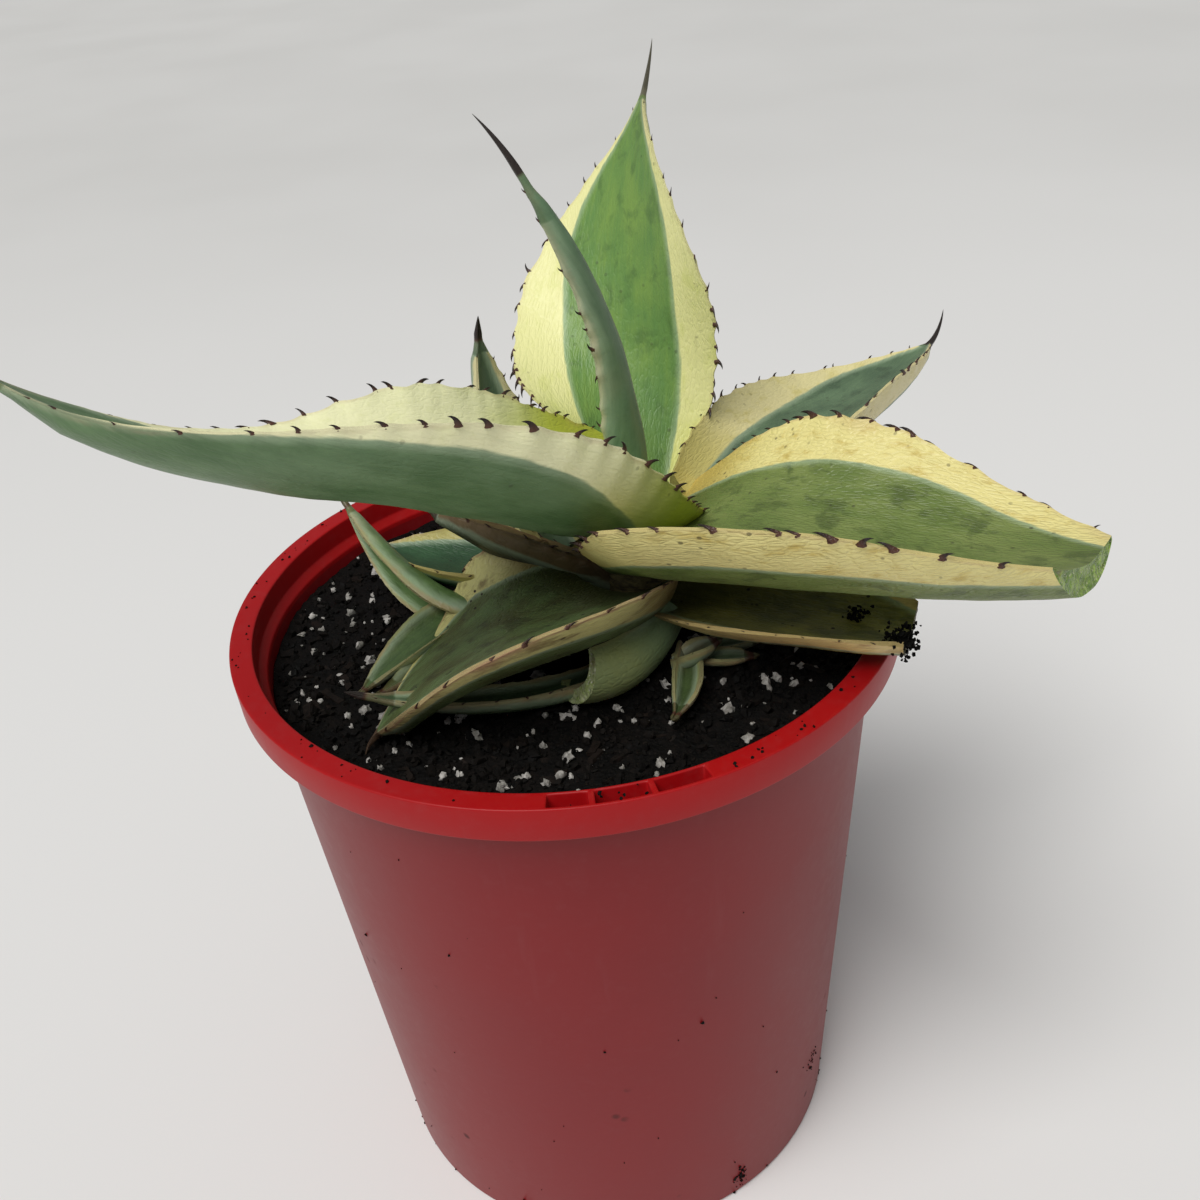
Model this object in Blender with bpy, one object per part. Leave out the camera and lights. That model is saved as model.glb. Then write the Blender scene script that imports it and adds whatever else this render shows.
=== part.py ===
import math

import bmesh
import bpy
import numpy as np
from mathutils import Vector

# pot, metres
pot_height = 0.2056
rim_radius = 0.1000
opening_radius = 0.0933
band_height = 0.0104
base_radius = 0.0775
wall_top_radius = 0.0929
wall_thickness = 0.0016
floor_thickness = 0.0024
lip_round = 0.0006
hole_count = 8
hole_radius = 0.0050
hole_ring_radius = 0.0560
hole_start = 8.0
pot_segments = 72

# hollow under the band, and the label slot in its top face, degrees around the pot
channel_inner = 0.0946
channel_outer = 0.0983
channel_top = 0.2036
channel_start = -62.0
channel_span = 304.0
slot_inner = 0.0943
slot_outer = 0.0988
slot_depth = 0.0075
slot_pockets = ((-96.4, -89.6), (-88.6, -80.6), (-79.6, -72.2))

# soil and stems, metres
soil_level = 0.1923
soil_bump = 0.0006
soil_gap = 0.0004
piece_gap = 0.00035
stem_place = (0.0260, 0.0060)
stem_profile = ((0.0150, 0.1933), (0.0150, 0.2080), (0.0120, 0.2170), (0.0070, 0.2225))
pup_left_place = (-0.0215, 0.0060)
pup_left_profile = ((0.0050, 0.1933), (0.0048, 0.1980), (0.0028, 0.2005))
pup_right_place = (0.0335, -0.0280)
pup_right_profile = ((0.0032, 0.1933), (0.0030, 0.1955), (0.0016, 0.1968))

# Leaves, inner ones first: millimetres and degrees. The lists run from the base to the tip.
# heading: 0 points right (+X), 90 back (+Y). pitch: up from level. roll: about the midrib.
# fold: half the angle the blade is curled through. cut: the share of the length that is left.
leaves = {
    "leaf_centre": dict(
        base=(21.2, 0.6, 225.7), heading=(104, 219, 163), pitch=(99, 76, 62), roll=(-118, -127, -141),
        length=111, width=12, base_width=0.8, widest=0.4, taper=1.6, tip=1,
        fold=(60, 39, 31), thick=(5, 4, 1.8), cut=1.00, spine=16, hook=(0, -14), detail=12,
    ),
    "leaf_upright": dict(
        base=(22.5, 21.4, 223.8), heading=(96, 68, 53), pitch=(18, 67, 57), roll=(-50, 8, 40),
        length=132, width=66, base_width=0.6, widest=0.5, taper=1.8, tip=1,
        fold=(39, 17, 7), thick=(9, 5, 2), cut=1.00, spine=15, hook=(-10, 14), detail=13,
    ),
    "leaf_left_large": dict(
        base=(27.7, 11, 228.7), heading=(227, 223, 201, 190), pitch=(22, 30, 22, 45), roll=(20, 2, -20, -15),
        length=194, width=73, base_width=0.6, widest=0.35, taper=1.8, tip=1,
        fold=(44, 68, 35, 8), thick=(11, 8, 3), cut=1.00, spine=17, hook=(0, 12), detail=15,
    ),
    "leaf_right_large": dict(
        base=(16.3, 8.9, 214.2), heading=(-60, -32, -42), pitch=(34, 2, 27), roll=(0, 9, 25),
        length=180, width=100, base_width=0.6, widest=0.35, taper=1.8, tip=1,
        fold=(26, 48, -6), thick=(10, 8, 5), cut=0.81, spine=0, hook=(0, 0), detail=14,
    ),
    "leaf_right_back": dict(
        base=(46.8, 15.4, 217.9), heading=(44, 41, 46), pitch=(15, 0, 9), roll=(-18, 11, 22),
        length=129, width=56, base_width=0.6, widest=0.45, taper=1.8, tip=1,
        fold=(61, 52, 41), thick=(8, 6, 2), cut=1.00, spine=14, hook=(0, 70), detail=12,
    ),
    "leaf_back_small": dict(
        base=(0.9, 19.9, 207.6), heading=(130, 130, 128), pitch=(40, 66, 98), roll=(0, -1, 0),
        length=74, width=24, base_width=0.6, widest=0.4, taper=1.5, tip=1,
        fold=(60, 65, 70), thick=(5, 4, 1.5), cut=1.00, spine=6, hook=(0, 0), detail=9,
    ),
    "leaf_left_under": dict(
        base=(16.2, 4.9, 206.7), heading=(178, 172, 165), pitch=(16, 26, 31), roll=(-18, -26, -20),
        length=61, width=20, base_width=0.6, widest=0.45, taper=1.8, tip=1,
        fold=(45, 47, 49), thick=(7, 5, 2), cut=1.00, spine=4, hook=(0, 10), detail=9,
    ),
    "leaf_front_left": dict(
        base=(12.4, -9.4, 209.2), heading=(235, 202, 208), pitch=(22, -10, -39), roll=(1, -22, -30),
        length=86, width=84, base_width=0.6, widest=0.45, taper=1.8, tip=1,
        fold=(50, 16, 0), thick=(10, 9, 5), cut=1.00, spine=6, hook=(40, -20), detail=12,
    ),
    "leaf_right_low": dict(
        base=(29.5, -8.5, 208.4), heading=(-49, -36, -19), pitch=(6, 3, -4), roll=(-13, 1, 5),
        length=94, width=50, base_width=0.6, widest=0.45, taper=1.8, tip=1,
        fold=(37, 41, 40), thick=(4, 3.5, 2.5), cut=0.82, spine=0, hook=(0, 0), detail=10,
    ),
    "leaf_left_low": dict(
        base=(14.8, 7.8, 200.8), heading=(159, 159, 154), pitch=(-3, 4, 13), roll=(-17, -6, 0),
        length=79, width=45, base_width=0.6, widest=0.45, taper=1.8, tip=1,
        fold=(45, 47, 51), thick=(5, 4, 2), cut=1.00, spine=4, hook=(0, 10), detail=10,
    ),
    "leaf_front_stub": dict(
        base=(27.7, -19.8, 203.8), heading=(246, 217, 191), pitch=(-22, 6, 50), roll=(-60, -60, -60),
        length=55, width=24, base_width=0.9, widest=0.45, taper=3, tip=0.8,
        fold=(75, 80, 80), thick=(5, 4, 3.5), cut=0.70, spine=0, hook=(0, 0), detail=8,
    ),
    "leaf_front_under": dict(
        base=(14.2, -31.9, 199.3), heading=(207, 191, 176), pitch=(-9, 9, 16), roll=(-7, -10, 4),
        length=76, width=11, base_width=0.6, widest=0.45, taper=1.8, tip=1,
        fold=(38, 43, 48), thick=(4, 3, 1.2), cut=1.00, spine=4, hook=(0, 0), detail=10,
    ),
    "pup_left_leaf_up": dict(
        base=(-25.3, -3, 201.8), heading=(142, 130, 132), pitch=(-10, 18, 43), roll=(125, 103, 110),
        length=67, width=19, base_width=0.6, widest=0.45, taper=1.8, tip=1,
        fold=(78, 67, 59), thick=(4, 3, 1.2), cut=1.00, spine=3, hook=(0, 0), detail=9,
    ),
    "pup_left_leaf_low": dict(
        base=(-20.7, 11.1, 200.5), heading=(217, 221, 219), pitch=(2, -9, -17), roll=(6, -1, -8),
        length=55, width=17, base_width=0.6, widest=0.45, taper=1.8, tip=1,
        fold=(50, 51, 52), thick=(4, 3, 1.2), cut=1.00, spine=3, hook=(0, 0), detail=8,
    ),
    "pup_left_leaf_inner": dict(
        base=(-22.8, 3.1, 199.1), heading=(224, 226, 221), pitch=(-3, -6, 0), roll=(0, -1, 0),
        length=47, width=10, base_width=0.6, widest=0.45, taper=1.8, tip=1,
        fold=(41, 41, 39), thick=(3, 2.5, 1), cut=1.00, spine=3, hook=(0, 0), detail=8,
    ),
    "pup_right_leaf_down": dict(
        base=(33.6, -25.9, 198), heading=(265, 258, 243), pitch=(-5, -1, 9), roll=(5, 3, 0),
        length=35, width=9, base_width=0.6, widest=0.45, taper=1.8, tip=1,
        fold=(71, 72, 70), thick=(2.5, 2, 1), cut=1.00, spine=2, hook=(0, 0), detail=7,
    ),
    "pup_right_leaf_folded": dict(
        base=(28.1, -32.9, 197.1), heading=(-8, 7, 14), pitch=(7, 27, 17), roll=(17, 7, -14),
        length=15, width=10, base_width=0.6, widest=0.45, taper=1.8, tip=1,
        fold=(72, 70, 67), thick=(2, 2, 1), cut=1.00, spine=1.5, hook=(0, 0), detail=6,
    ),
    "pup_right_leaf_side": dict(
        base=(37, -31.3, 196.4), heading=(-7, -7, -6), pitch=(1, 0, 2), roll=(3, 0, -3),
        length=15, width=7, base_width=0.6, widest=0.45, taper=1.8, tip=1,
        fold=(50, 49, 49), thick=(2, 2, 1), cut=1.00, spine=1.5, hook=(0, 0), detail=6,
    ),
    "pup_right_leaf_far": dict(
        base=(34.5, -26.3, 196.4), heading=(3, 3, 5), pitch=(0, 1, 5), roll=(-6, 0, 6),
        length=22, width=7, base_width=0.6, widest=0.45, taper=1.8, tip=1,
        fold=(49, 49, 50), thick=(2, 2, 1), cut=1.00, spine=1.5, hook=(0, 0), detail=6,
    ),
}
across = 7
across_small = 5
edge_thickness = 0.9
spine_radius = 1.1

colours = {
    "pot": (0.42, 0.035, 0.035),
    "soil": (0.018, 0.015, 0.013),
    "stem": (0.20, 0.19, 0.09),
    "green": (0.13, 0.24, 0.12),
    "grey": (0.12, 0.20, 0.13),
    "pale": (0.30, 0.36, 0.14),
}


def clear_scene():
    for item in list(bpy.data.objects):
        bpy.data.objects.remove(item)
    for mesh in list(bpy.data.meshes):
        bpy.data.meshes.remove(mesh)


def material(name, colour, roughness):
    mat = bpy.data.materials.new(name)
    mat.use_nodes = True
    shader = mat.node_tree.nodes["Principled BSDF"]
    shader.inputs["Base Color"].default_value = (*colour, 1.0)
    shader.inputs["Roughness"].default_value = roughness
    shader.inputs["Metallic"].default_value = 0.0
    return mat


def add_object(name, bm, mat, sharp_angle=40.0):
    bmesh.ops.recalc_face_normals(bm, faces=bm.faces)
    limit = math.radians(sharp_angle)
    for face in bm.faces:
        face.smooth = True
    for edge in bm.edges:
        edge.smooth = edge.calc_face_angle(0.0) < limit
    mesh = bpy.data.meshes.new(name)
    bm.to_mesh(mesh)
    bm.free()
    mesh.materials.append(mat)
    item = bpy.data.objects.new(name, mesh)
    bpy.context.scene.collection.objects.link(item)
    return item


def lathe(profile, segments, centre=(0.0, 0.0)):
    bm = bmesh.new()
    rings = []
    for radius, height in profile:
        if radius < 1e-6:
            rings.append([bm.verts.new((centre[0], centre[1], height))])
            continue
        ring = []
        for step in range(segments):
            angle = 2.0 * math.pi * step / segments
            x = centre[0] + radius * math.cos(angle)
            y = centre[1] + radius * math.sin(angle)
            ring.append(bm.verts.new((x, y, height)))
        rings.append(ring)
    for lower, upper in zip(rings, rings[1:]):
        for step in range(segments):
            after = (step + 1) % segments
            corners = [lower[step % len(lower)], lower[after % len(lower)]]
            corners += [upper[after % len(upper)], upper[step % len(upper)]]
            bm.faces.new(list(dict.fromkeys(corners)))
    return bm


def arc_block(inner, outer, bottom, top, start, end, steps):
    bm = bmesh.new()
    slices = []
    for step in range(steps + 1):
        angle = math.radians(start + (end - start) * step / steps)
        ray = Vector((math.cos(angle), math.sin(angle), 0.0))
        corners = []
        for radius, height in ((inner, bottom), (outer, bottom), (outer, top), (inner, top)):
            corners.append(bm.verts.new(ray * radius + Vector((0.0, 0.0, height))))
        slices.append(corners)
    for one, two in zip(slices, slices[1:]):
        for side in range(4):
            other = (side + 1) % 4
            bm.faces.new((one[side], one[other], two[other], two[side]))
    bm.faces.new(slices[0])
    bm.faces.new(slices[-1])
    bmesh.ops.recalc_face_normals(bm, faces=bm.faces)
    return bm


def cylinder(x, y, radius, bottom, top, segments):
    bm = lathe(((0.0, bottom), (radius, bottom), (radius, top), (0.0, top)), segments, (x, y))
    bmesh.ops.recalc_face_normals(bm, faces=bm.faces)
    return bm


def island_volume(faces):
    total = 0.0
    for face in faces:
        first = face.verts[0].co
        for one, two in zip(face.verts[1:], face.verts[2:]):
            total += first.dot(one.co.cross(two.co)) / 6.0
    return total


def keep_largest(bm):
    left = set(bm.faces)
    islands = []
    while left:
        stack = [left.pop()]
        island = set(stack)
        while stack:
            for edge in stack.pop().edges:
                for face in edge.link_faces:
                    if face in left:
                        left.remove(face)
                        island.add(face)
                        stack.append(face)
        islands.append(island)
    islands.sort(key=island_volume, reverse=True)
    spare = [face for island in islands[1:] for face in island]
    bmesh.ops.delete(bm, geom=spare, context="FACES")
    loose = [vert for vert in bm.verts if not vert.link_faces]
    bmesh.ops.delete(bm, geom=loose, context="VERTS")


def carve(item, tools):
    """Takes the tool meshes away from the object, and keeps the largest body."""
    if not tools:
        return
    helpers = []
    for index, tool in enumerate(tools):
        helper = bpy.data.objects.new("tool_" + str(index), tool)
        helper.hide_render = True
        helper.display_type = "WIRE"
        bpy.context.scene.collection.objects.link(helper)
        helpers.append(helper)
        step = item.modifiers.new("cut_" + str(index), "BOOLEAN")
        step.operation = "DIFFERENCE"
        step.solver = "EXACT"
        step.object = helper
    graph = bpy.context.evaluated_depsgraph_get()
    graph.update()
    result = bpy.data.meshes.new_from_object(item.evaluated_get(graph))
    item.modifiers.clear()
    item.data = result
    for helper in helpers:
        bpy.data.objects.remove(helper)
    bm = bmesh.new()
    bm.from_mesh(result)
    keep_largest(bm)
    bmesh.ops.remove_doubles(bm, verts=bm.verts, dist=0.000002)
    bmesh.ops.triangulate(bm, faces=bm.faces)
    bm.to_mesh(result)
    bm.free()


def grown(mesh, gap):
    """A copy of the mesh, pushed out by the gap."""
    bm = bmesh.new()
    bm.from_mesh(mesh)
    bm.normal_update()
    for vert in bm.verts:
        vert.co += vert.normal * gap
    copy = bpy.data.meshes.new("grown")
    bm.to_mesh(copy)
    bm.free()
    return copy


def box_of(mesh):
    points = np.array([vert.co[:] for vert in mesh.vertices])
    return points.min(axis=0), points.max(axis=0)


def boxes_meet(one, two, gap):
    return bool(np.all(one[0] < two[1] + gap) and np.all(two[0] < one[1] + gap))


def along(values, place):
    """A smooth value at each place from 0 to 1, through evenly spaced ones."""
    v = np.asarray(values, dtype=float)
    p = np.concatenate([[2 * v[0] - v[1]], v, [2 * v[-1] - v[-2]]])
    s = np.clip(place, 0.0, 1.0) * (len(v) - 1)
    i = np.minimum(s.astype(int), len(v) - 2)
    f = s - i
    a, b, c, d = p[i], p[i + 1], p[i + 2], p[i + 3]
    rise = (c - a) * f + (2 * a - 5 * b + 4 * c - d) * f**2 + (3 * b - a - 3 * c + d) * f**3
    return 0.5 * (2 * b + rise)


def columns(leaf):
    return across_small if leaf["width"] < 22 else across


def leaf_rows(leaf):
    """Upper and lower points of a leaf, one row for each station along it."""
    blade = np.linspace(0.0, leaf["cut"], leaf["detail"] + 1)
    share = leaf["spine"] / leaf["length"]
    place = blade
    if leaf["spine"] > 0:
        place = np.concatenate([blade, 1.0 + share * np.array([0.3, 0.65])])
    beyond = np.clip((place - 1.0) / max(share, 1e-6), 0.0, 1.0)
    fine = np.linspace(0.0, place[-1], 201)
    past = np.clip((fine - 1.0) / max(share, 1e-6), 0.0, 1.0)
    heading = np.radians(along(leaf["heading"], fine) + leaf["hook"][0] * past)
    pitch = np.radians(along(leaf["pitch"], fine) + leaf["hook"][1] * past)
    roll = np.radians(along(leaf["roll"], fine))
    level = np.cos(pitch)
    climb = np.sin(pitch)
    ahead = np.stack([level * np.cos(heading), level * np.sin(heading), climb], 1)
    above = np.stack([-climb * np.cos(heading), -climb * np.sin(heading), level], 1)
    beside = np.cross(above, ahead)
    up = np.cos(roll)[:, None] * above + np.sin(roll)[:, None] * beside
    side = np.cos(roll)[:, None] * beside - np.sin(roll)[:, None] * above
    stride = leaf["length"] * (fine[1] - fine[0])
    middle = np.zeros((len(fine), 3))
    middle[1:] = np.cumsum((ahead[1:] + ahead[:-1]) / 2.0, 0) * stride
    middle += np.array(leaf["base"])

    def at_place(curve):
        return np.stack([np.interp(place, fine, curve[:, k]) for k in range(3)], 1)

    middle, up, side = at_place(middle), at_place(up), at_place(side)
    fold = np.radians(along(leaf["fold"], place))
    fold = np.where(np.abs(fold) < 0.02, 0.02, fold)
    swell = leaf["base_width"] + (1 - leaf["base_width"]) * np.sin(
        np.pi / 2 * np.clip(place / leaf["widest"], 0, 1)
    )
    far = np.clip((place - leaf["widest"]) / (1 - leaf["widest"]), 0, 1)
    narrow = np.clip(1 - far ** leaf["taper"], 0, 1) ** leaf["tip"]
    width = leaf["width"] * np.where(place < leaf["widest"], swell, narrow)
    needle = 2 * spine_radius * (1 - beyond) ** 0.8 * (leaf["spine"] > 0)
    width = np.maximum(width, needle)
    slim = np.minimum(1.0, width / (leaf["width"] * 0.25))
    body = np.maximum(along(leaf["thick"], place) * slim, needle * 0.8)
    edge = edge_thickness * np.minimum(1.0, width / 6.0) + 0.1
    u = np.linspace(-1.0, 1.0, columns(leaf))[None, :]
    reach = (width / 2 / fold)[:, None] * np.sin(fold[:, None] * u)
    lift = (width / 2 / fold)[:, None] * (1 - np.cos(fold[:, None] * u))
    upper = middle[:, None] + reach[..., None] * side[:, None] + lift[..., None] * up[:, None]
    tilt = fold[:, None] * u
    out = np.cos(tilt)[..., None] * up[:, None] - np.sin(tilt)[..., None] * side[:, None]
    depth = body[:, None] * (1 - np.abs(u) ** 2.2) + edge[:, None]
    lower = upper - out * depth[..., None]
    tip = None
    if leaf["spine"] > 0:
        last = np.array([level[-1] * np.cos(heading[-1]), level[-1] * np.sin(heading[-1]), climb[-1]])
        tip = (upper[-1].mean(0) + lower[-1].mean(0)) / 2 + last * leaf["spine"] * 0.35
    return upper, lower, tip


def leaf_mesh(leaf):
    upper, lower, tip = leaf_rows(leaf)
    bm = bmesh.new()
    rings = []
    for top, bottom in zip(upper, lower):
        ring = [bm.verts.new(point / 1000.0) for point in top]
        ring += [bm.verts.new(point / 1000.0) for point in bottom[::-1]]
        rings.append(ring)
    wide = columns(leaf)
    count = 2 * wide
    for one, two in zip(rings, rings[1:]):
        for index in range(count):
            after = (index + 1) % count
            bm.faces.new((one[index], one[after], two[after], two[index]))
    ends = [rings[0]]
    if tip is None:
        ends.append(rings[-1])
    else:
        point = bm.verts.new(tip / 1000.0)
        for index in range(count):
            bm.faces.new((rings[-1][index], rings[-1][(index + 1) % count], point))
    for ring in ends:
        for index in range(wide - 1):
            far = count - 1 - index
            bm.faces.new((ring[index], ring[index + 1], ring[far - 1], ring[far]))
    bmesh.ops.triangulate(bm, faces=bm.faces)
    return bm


def wall_outside(height):
    return base_radius + (wall_top_radius - base_radius) * height / pot_height


def build_pot(mat):
    band_bottom = pot_height - band_height
    shoulder = band_bottom + 0.0014
    inside_low = wall_outside(floor_thickness) - wall_thickness
    profile = [
        (0.0, 0.0),
        (base_radius - 0.0012, 0.0),
        (base_radius, 0.0012),
        (wall_outside(band_bottom), band_bottom),
        (rim_radius - 0.0009, band_bottom),
        (rim_radius - 0.0003, band_bottom + lip_round),
        (rim_radius, pot_height - lip_round),
        (rim_radius - lip_round, pot_height),
        (opening_radius + lip_round, pot_height),
        (opening_radius, pot_height - lip_round),
        (opening_radius - 0.0003, shoulder + 0.0022),
        (wall_outside(shoulder) - wall_thickness, shoulder),
        (inside_low + 0.0003, floor_thickness + 0.0015),
        (inside_low - 0.0012, floor_thickness),
        (0.0, floor_thickness),
    ]
    pot = add_object("pot", lathe(profile, pot_segments), mat, 35.0)
    shapes = []
    steps = round(channel_span / 360.0 * pot_segments)
    shapes.append(
        arc_block(
            channel_inner,
            channel_outer,
            band_bottom - 0.004,
            channel_top,
            channel_start,
            channel_start + channel_span,
            steps,
        )
    )
    for start, end in slot_pockets:
        bottom = pot_height - slot_depth
        shapes.append(arc_block(slot_inner, slot_outer, bottom, pot_height + 0.004, start, end, 3))
    for index in range(hole_count):
        angle = math.radians(hole_start + 360.0 * index / hole_count)
        x = hole_ring_radius * math.cos(angle)
        y = hole_ring_radius * math.sin(angle)
        shapes.append(cylinder(x, y, hole_radius, -0.003, floor_thickness + 0.003, 14))
    tools = []
    for shape in shapes:
        mesh = bpy.data.meshes.new("pot_tool")
        shape.to_mesh(mesh)
        shape.free()
        tools.append(mesh)
    carve(pot, tools)
    return pot


def build_soil(mat):
    segments = 40
    bottom = floor_thickness + soil_gap
    low = wall_outside(bottom) - wall_thickness - soil_gap - 0.0016
    side = wall_outside(soil_level) - wall_thickness - soil_gap
    radii = (0.96, 0.80, 0.62, 0.44, 0.26, 0.10)
    profile = [(0.0, bottom), (low, bottom), (side, soil_level - 0.0008)]
    profile += [(side * share, soil_level) for share in radii]
    profile += [(0.0, soil_level)]
    bm = lathe(profile, segments)
    for vert in bm.verts:
        if vert.co.z > soil_level - 0.0001:
            x, y = vert.co.x * 1000.0, vert.co.y * 1000.0
            wave = math.sin(x * 0.21 + 1.3) * math.cos(y * 0.17) + 0.6 * math.sin(x * 0.11 - y * 0.31)
            vert.co.z += soil_bump * wave / 1.6
    return add_object("soil", bm, mat)


def build_stem(name, place, profile, mat):
    bottom = profile[0][1]
    top = profile[-1][1]
    rows = [(0.0, bottom), *profile, (0.0, top + profile[-1][0] * 0.25)]
    return add_object(name, lathe(rows, 14, place), mat, 60.0)


def leaf_colour(name, mats):
    if name in ("leaf_centre", "leaf_left_large", "leaf_front_stub", "leaf_back_small"):
        return mats["grey"]
    if name in ("leaf_right_large", "leaf_right_low"):
        return mats["pale"]
    return mats["green"]


def build():
    clear_scene()
    mats = {}
    for name, colour in colours.items():
        rough = {"soil": 0.95, "pot": 0.5}.get(name, 0.45)
        mats[name] = material(name, colour, rough)
    build_pot(mats["pot"])
    soil = build_soil(mats["soil"])
    stem = build_stem("stem", stem_place, stem_profile, mats["stem"])
    pup_left = build_stem("pup_left_stem", pup_left_place, pup_left_profile, mats["stem"])
    pup_right = build_stem("pup_right_stem", pup_right_place, pup_right_profile, mats["stem"])
    solids = [(item.data, box_of(item.data)) for item in (soil, stem, pup_left, pup_right)]
    for name, leaf in leaves.items():
        bm = leaf_mesh(leaf)
        item = add_object(name, bm, leaf_colour(name, mats), 50.0)
        whole = item.data.copy()
        box = box_of(whole)
        near = [grown(mesh, piece_gap) for mesh, other in solids if boxes_meet(box, other, 0.001)]
        carve(item, near)
        solids.append((whole, box))
    for mesh in list(bpy.data.meshes):
        if mesh.users == 0:
            bpy.data.meshes.remove(mesh)


build()
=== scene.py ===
import math
import random

import bmesh
import bpy
import numpy as np
from mathutils import Matrix, Vector, noise


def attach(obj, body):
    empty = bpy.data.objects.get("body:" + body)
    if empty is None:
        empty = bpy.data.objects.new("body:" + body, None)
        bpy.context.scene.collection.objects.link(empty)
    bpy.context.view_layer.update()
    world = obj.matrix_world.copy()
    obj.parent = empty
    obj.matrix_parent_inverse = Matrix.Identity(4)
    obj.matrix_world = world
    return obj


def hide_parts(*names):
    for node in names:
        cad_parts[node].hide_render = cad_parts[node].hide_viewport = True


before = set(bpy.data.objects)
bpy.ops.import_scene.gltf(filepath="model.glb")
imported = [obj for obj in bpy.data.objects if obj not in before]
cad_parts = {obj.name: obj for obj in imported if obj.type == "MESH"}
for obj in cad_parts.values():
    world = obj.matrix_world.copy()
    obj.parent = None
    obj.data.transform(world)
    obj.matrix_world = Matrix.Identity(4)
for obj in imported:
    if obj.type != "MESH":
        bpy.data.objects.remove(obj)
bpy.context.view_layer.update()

print("frame loaded:", len(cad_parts), "nodes")


class Wire:
    # a node's output that can be used in sums
    def __init__(self, finish, socket):
        self.finish = finish
        self.socket = socket

    def __add__(self, other):
        return self.finish.sum("ADD", self, other)

    def __sub__(self, other):
        return self.finish.sum("SUBTRACT", self, other)

    def __rsub__(self, other):
        return self.finish.sum("SUBTRACT", other, self)

    def __mul__(self, other):
        return self.finish.sum("MULTIPLY", self, other)

    __radd__ = __add__
    __rmul__ = __mul__


class Finish:
    # one material and its nodes
    def __init__(self, name, **fixed):
        self.material = bpy.data.materials.new(name)
        self.material.use_nodes = True
        self.tree = self.material.node_tree
        self.shader = self.tree.nodes["Principled BSDF"]
        for key, value in fixed.items():
            self.shader.inputs[key.replace("_", " ")].default_value = value

    def put(self, socket, value):
        if isinstance(value, Wire):
            self.tree.links.new(value.socket, socket)
        elif isinstance(value, tuple) and len(value) == 3 and len(socket.default_value) == 4:
            socket.default_value = (*value, 1.0)
        else:
            socket.default_value = value

    def node(self, kind, settings=None, inputs=None, out=0):
        item = self.tree.nodes.new(kind)
        for key, value in (settings or {}).items():
            setattr(item, key, value)
        for key, value in (inputs or {}).items():
            self.put(item.inputs[key], value)
        return Wire(self, item.outputs[out])

    def sum(self, how, one, two):
        return self.node("ShaderNodeMath", {"operation": how}, {0: one, 1: two})

    def mix(self, share, one, two):
        return self.node("ShaderNodeMix", {"data_type": "RGBA"}, {0: share, 6: one, 7: two}, 2)

    def step(self, value, low, high, start=0.0, end=1.0):
        settings = {"interpolation_type": "SMOOTHSTEP"}
        return self.node("ShaderNodeMapRange", settings, {0: value, 1: low, 2: high, 3: start, 4: end})

    def cloud(self, place, scale, detail=3.0, rough=0.5, warp=0.0):
        inputs = {"Vector": place, "Scale": scale, "Detail": detail, "Roughness": rough, "Distortion": warp}
        return self.node("ShaderNodeTexNoise", None, inputs)

    def cells(self, place, scale, feature="F1"):
        inputs = {"Vector": place, "Scale": scale}
        return self.node("ShaderNodeTexVoronoi", {"feature": feature}, inputs)

    def stretched(self, place, scale):
        return self.node("ShaderNodeMapping", None, {"Vector": place, "Scale": scale})

    def painted(self, name, out=2):
        return self.node("ShaderNodeAttribute", {"attribute_name": name}, None, out)

    def here(self):
        return self.node("ShaderNodeTexCoord", None, None, 3)

    def bump(self, height, strength, distance):
        inputs = {"Strength": strength, "Distance": distance, "Height": height}
        return self.node("ShaderNodeBump", None, inputs)

    def feed(self, **wires):
        for key, value in wires.items():
            self.put(self.shader.inputs[key.replace("_", " ")], value)
        return self.material


def meshFrom(name, bm):
    mesh = bpy.data.meshes.new(name)
    bm.to_mesh(mesh)
    bm.free()
    return mesh


def addPiece(name, bm, finishes, nodes=()):
    mesh = meshFrom(name, bm)
    for finish in finishes:
        mesh.materials.append(finish)
    piece = bpy.data.objects.new(name, mesh)
    bpy.context.scene.collection.objects.link(piece)
    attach(piece, "root")
    if nodes:
        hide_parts(*nodes)
    return piece


def smoothed(bm, angle=35.0):
    bmesh.ops.recalc_face_normals(bm, faces=bm.faces)
    limit = math.radians(angle)
    for face in bm.faces:
        face.smooth = True
    for edge in bm.edges:
        edge.smooth = edge.calc_face_angle(0.0) < limit
    return bm


def spun(profile, steps):
    # radius and height pairs turned once about the middle
    bm = bmesh.new()
    verts = [bm.verts.new((radius, 0.0, height)) for radius, height in profile]
    edges = [bm.edges.new(pair) for pair in zip(verts, verts[1:])]
    bmesh.ops.spin(bm, geom=verts + edges, cent=(0, 0, 0), axis=(0, 0, 1), angle=2 * math.pi,
                   steps=steps, use_merge=True)
    bmesh.ops.remove_doubles(bm, verts=bm.verts, dist=0.00001)
    return bm


def around(radius, angle, height):
    return Vector((radius * math.cos(angle), radius * math.sin(angle), height))


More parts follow.
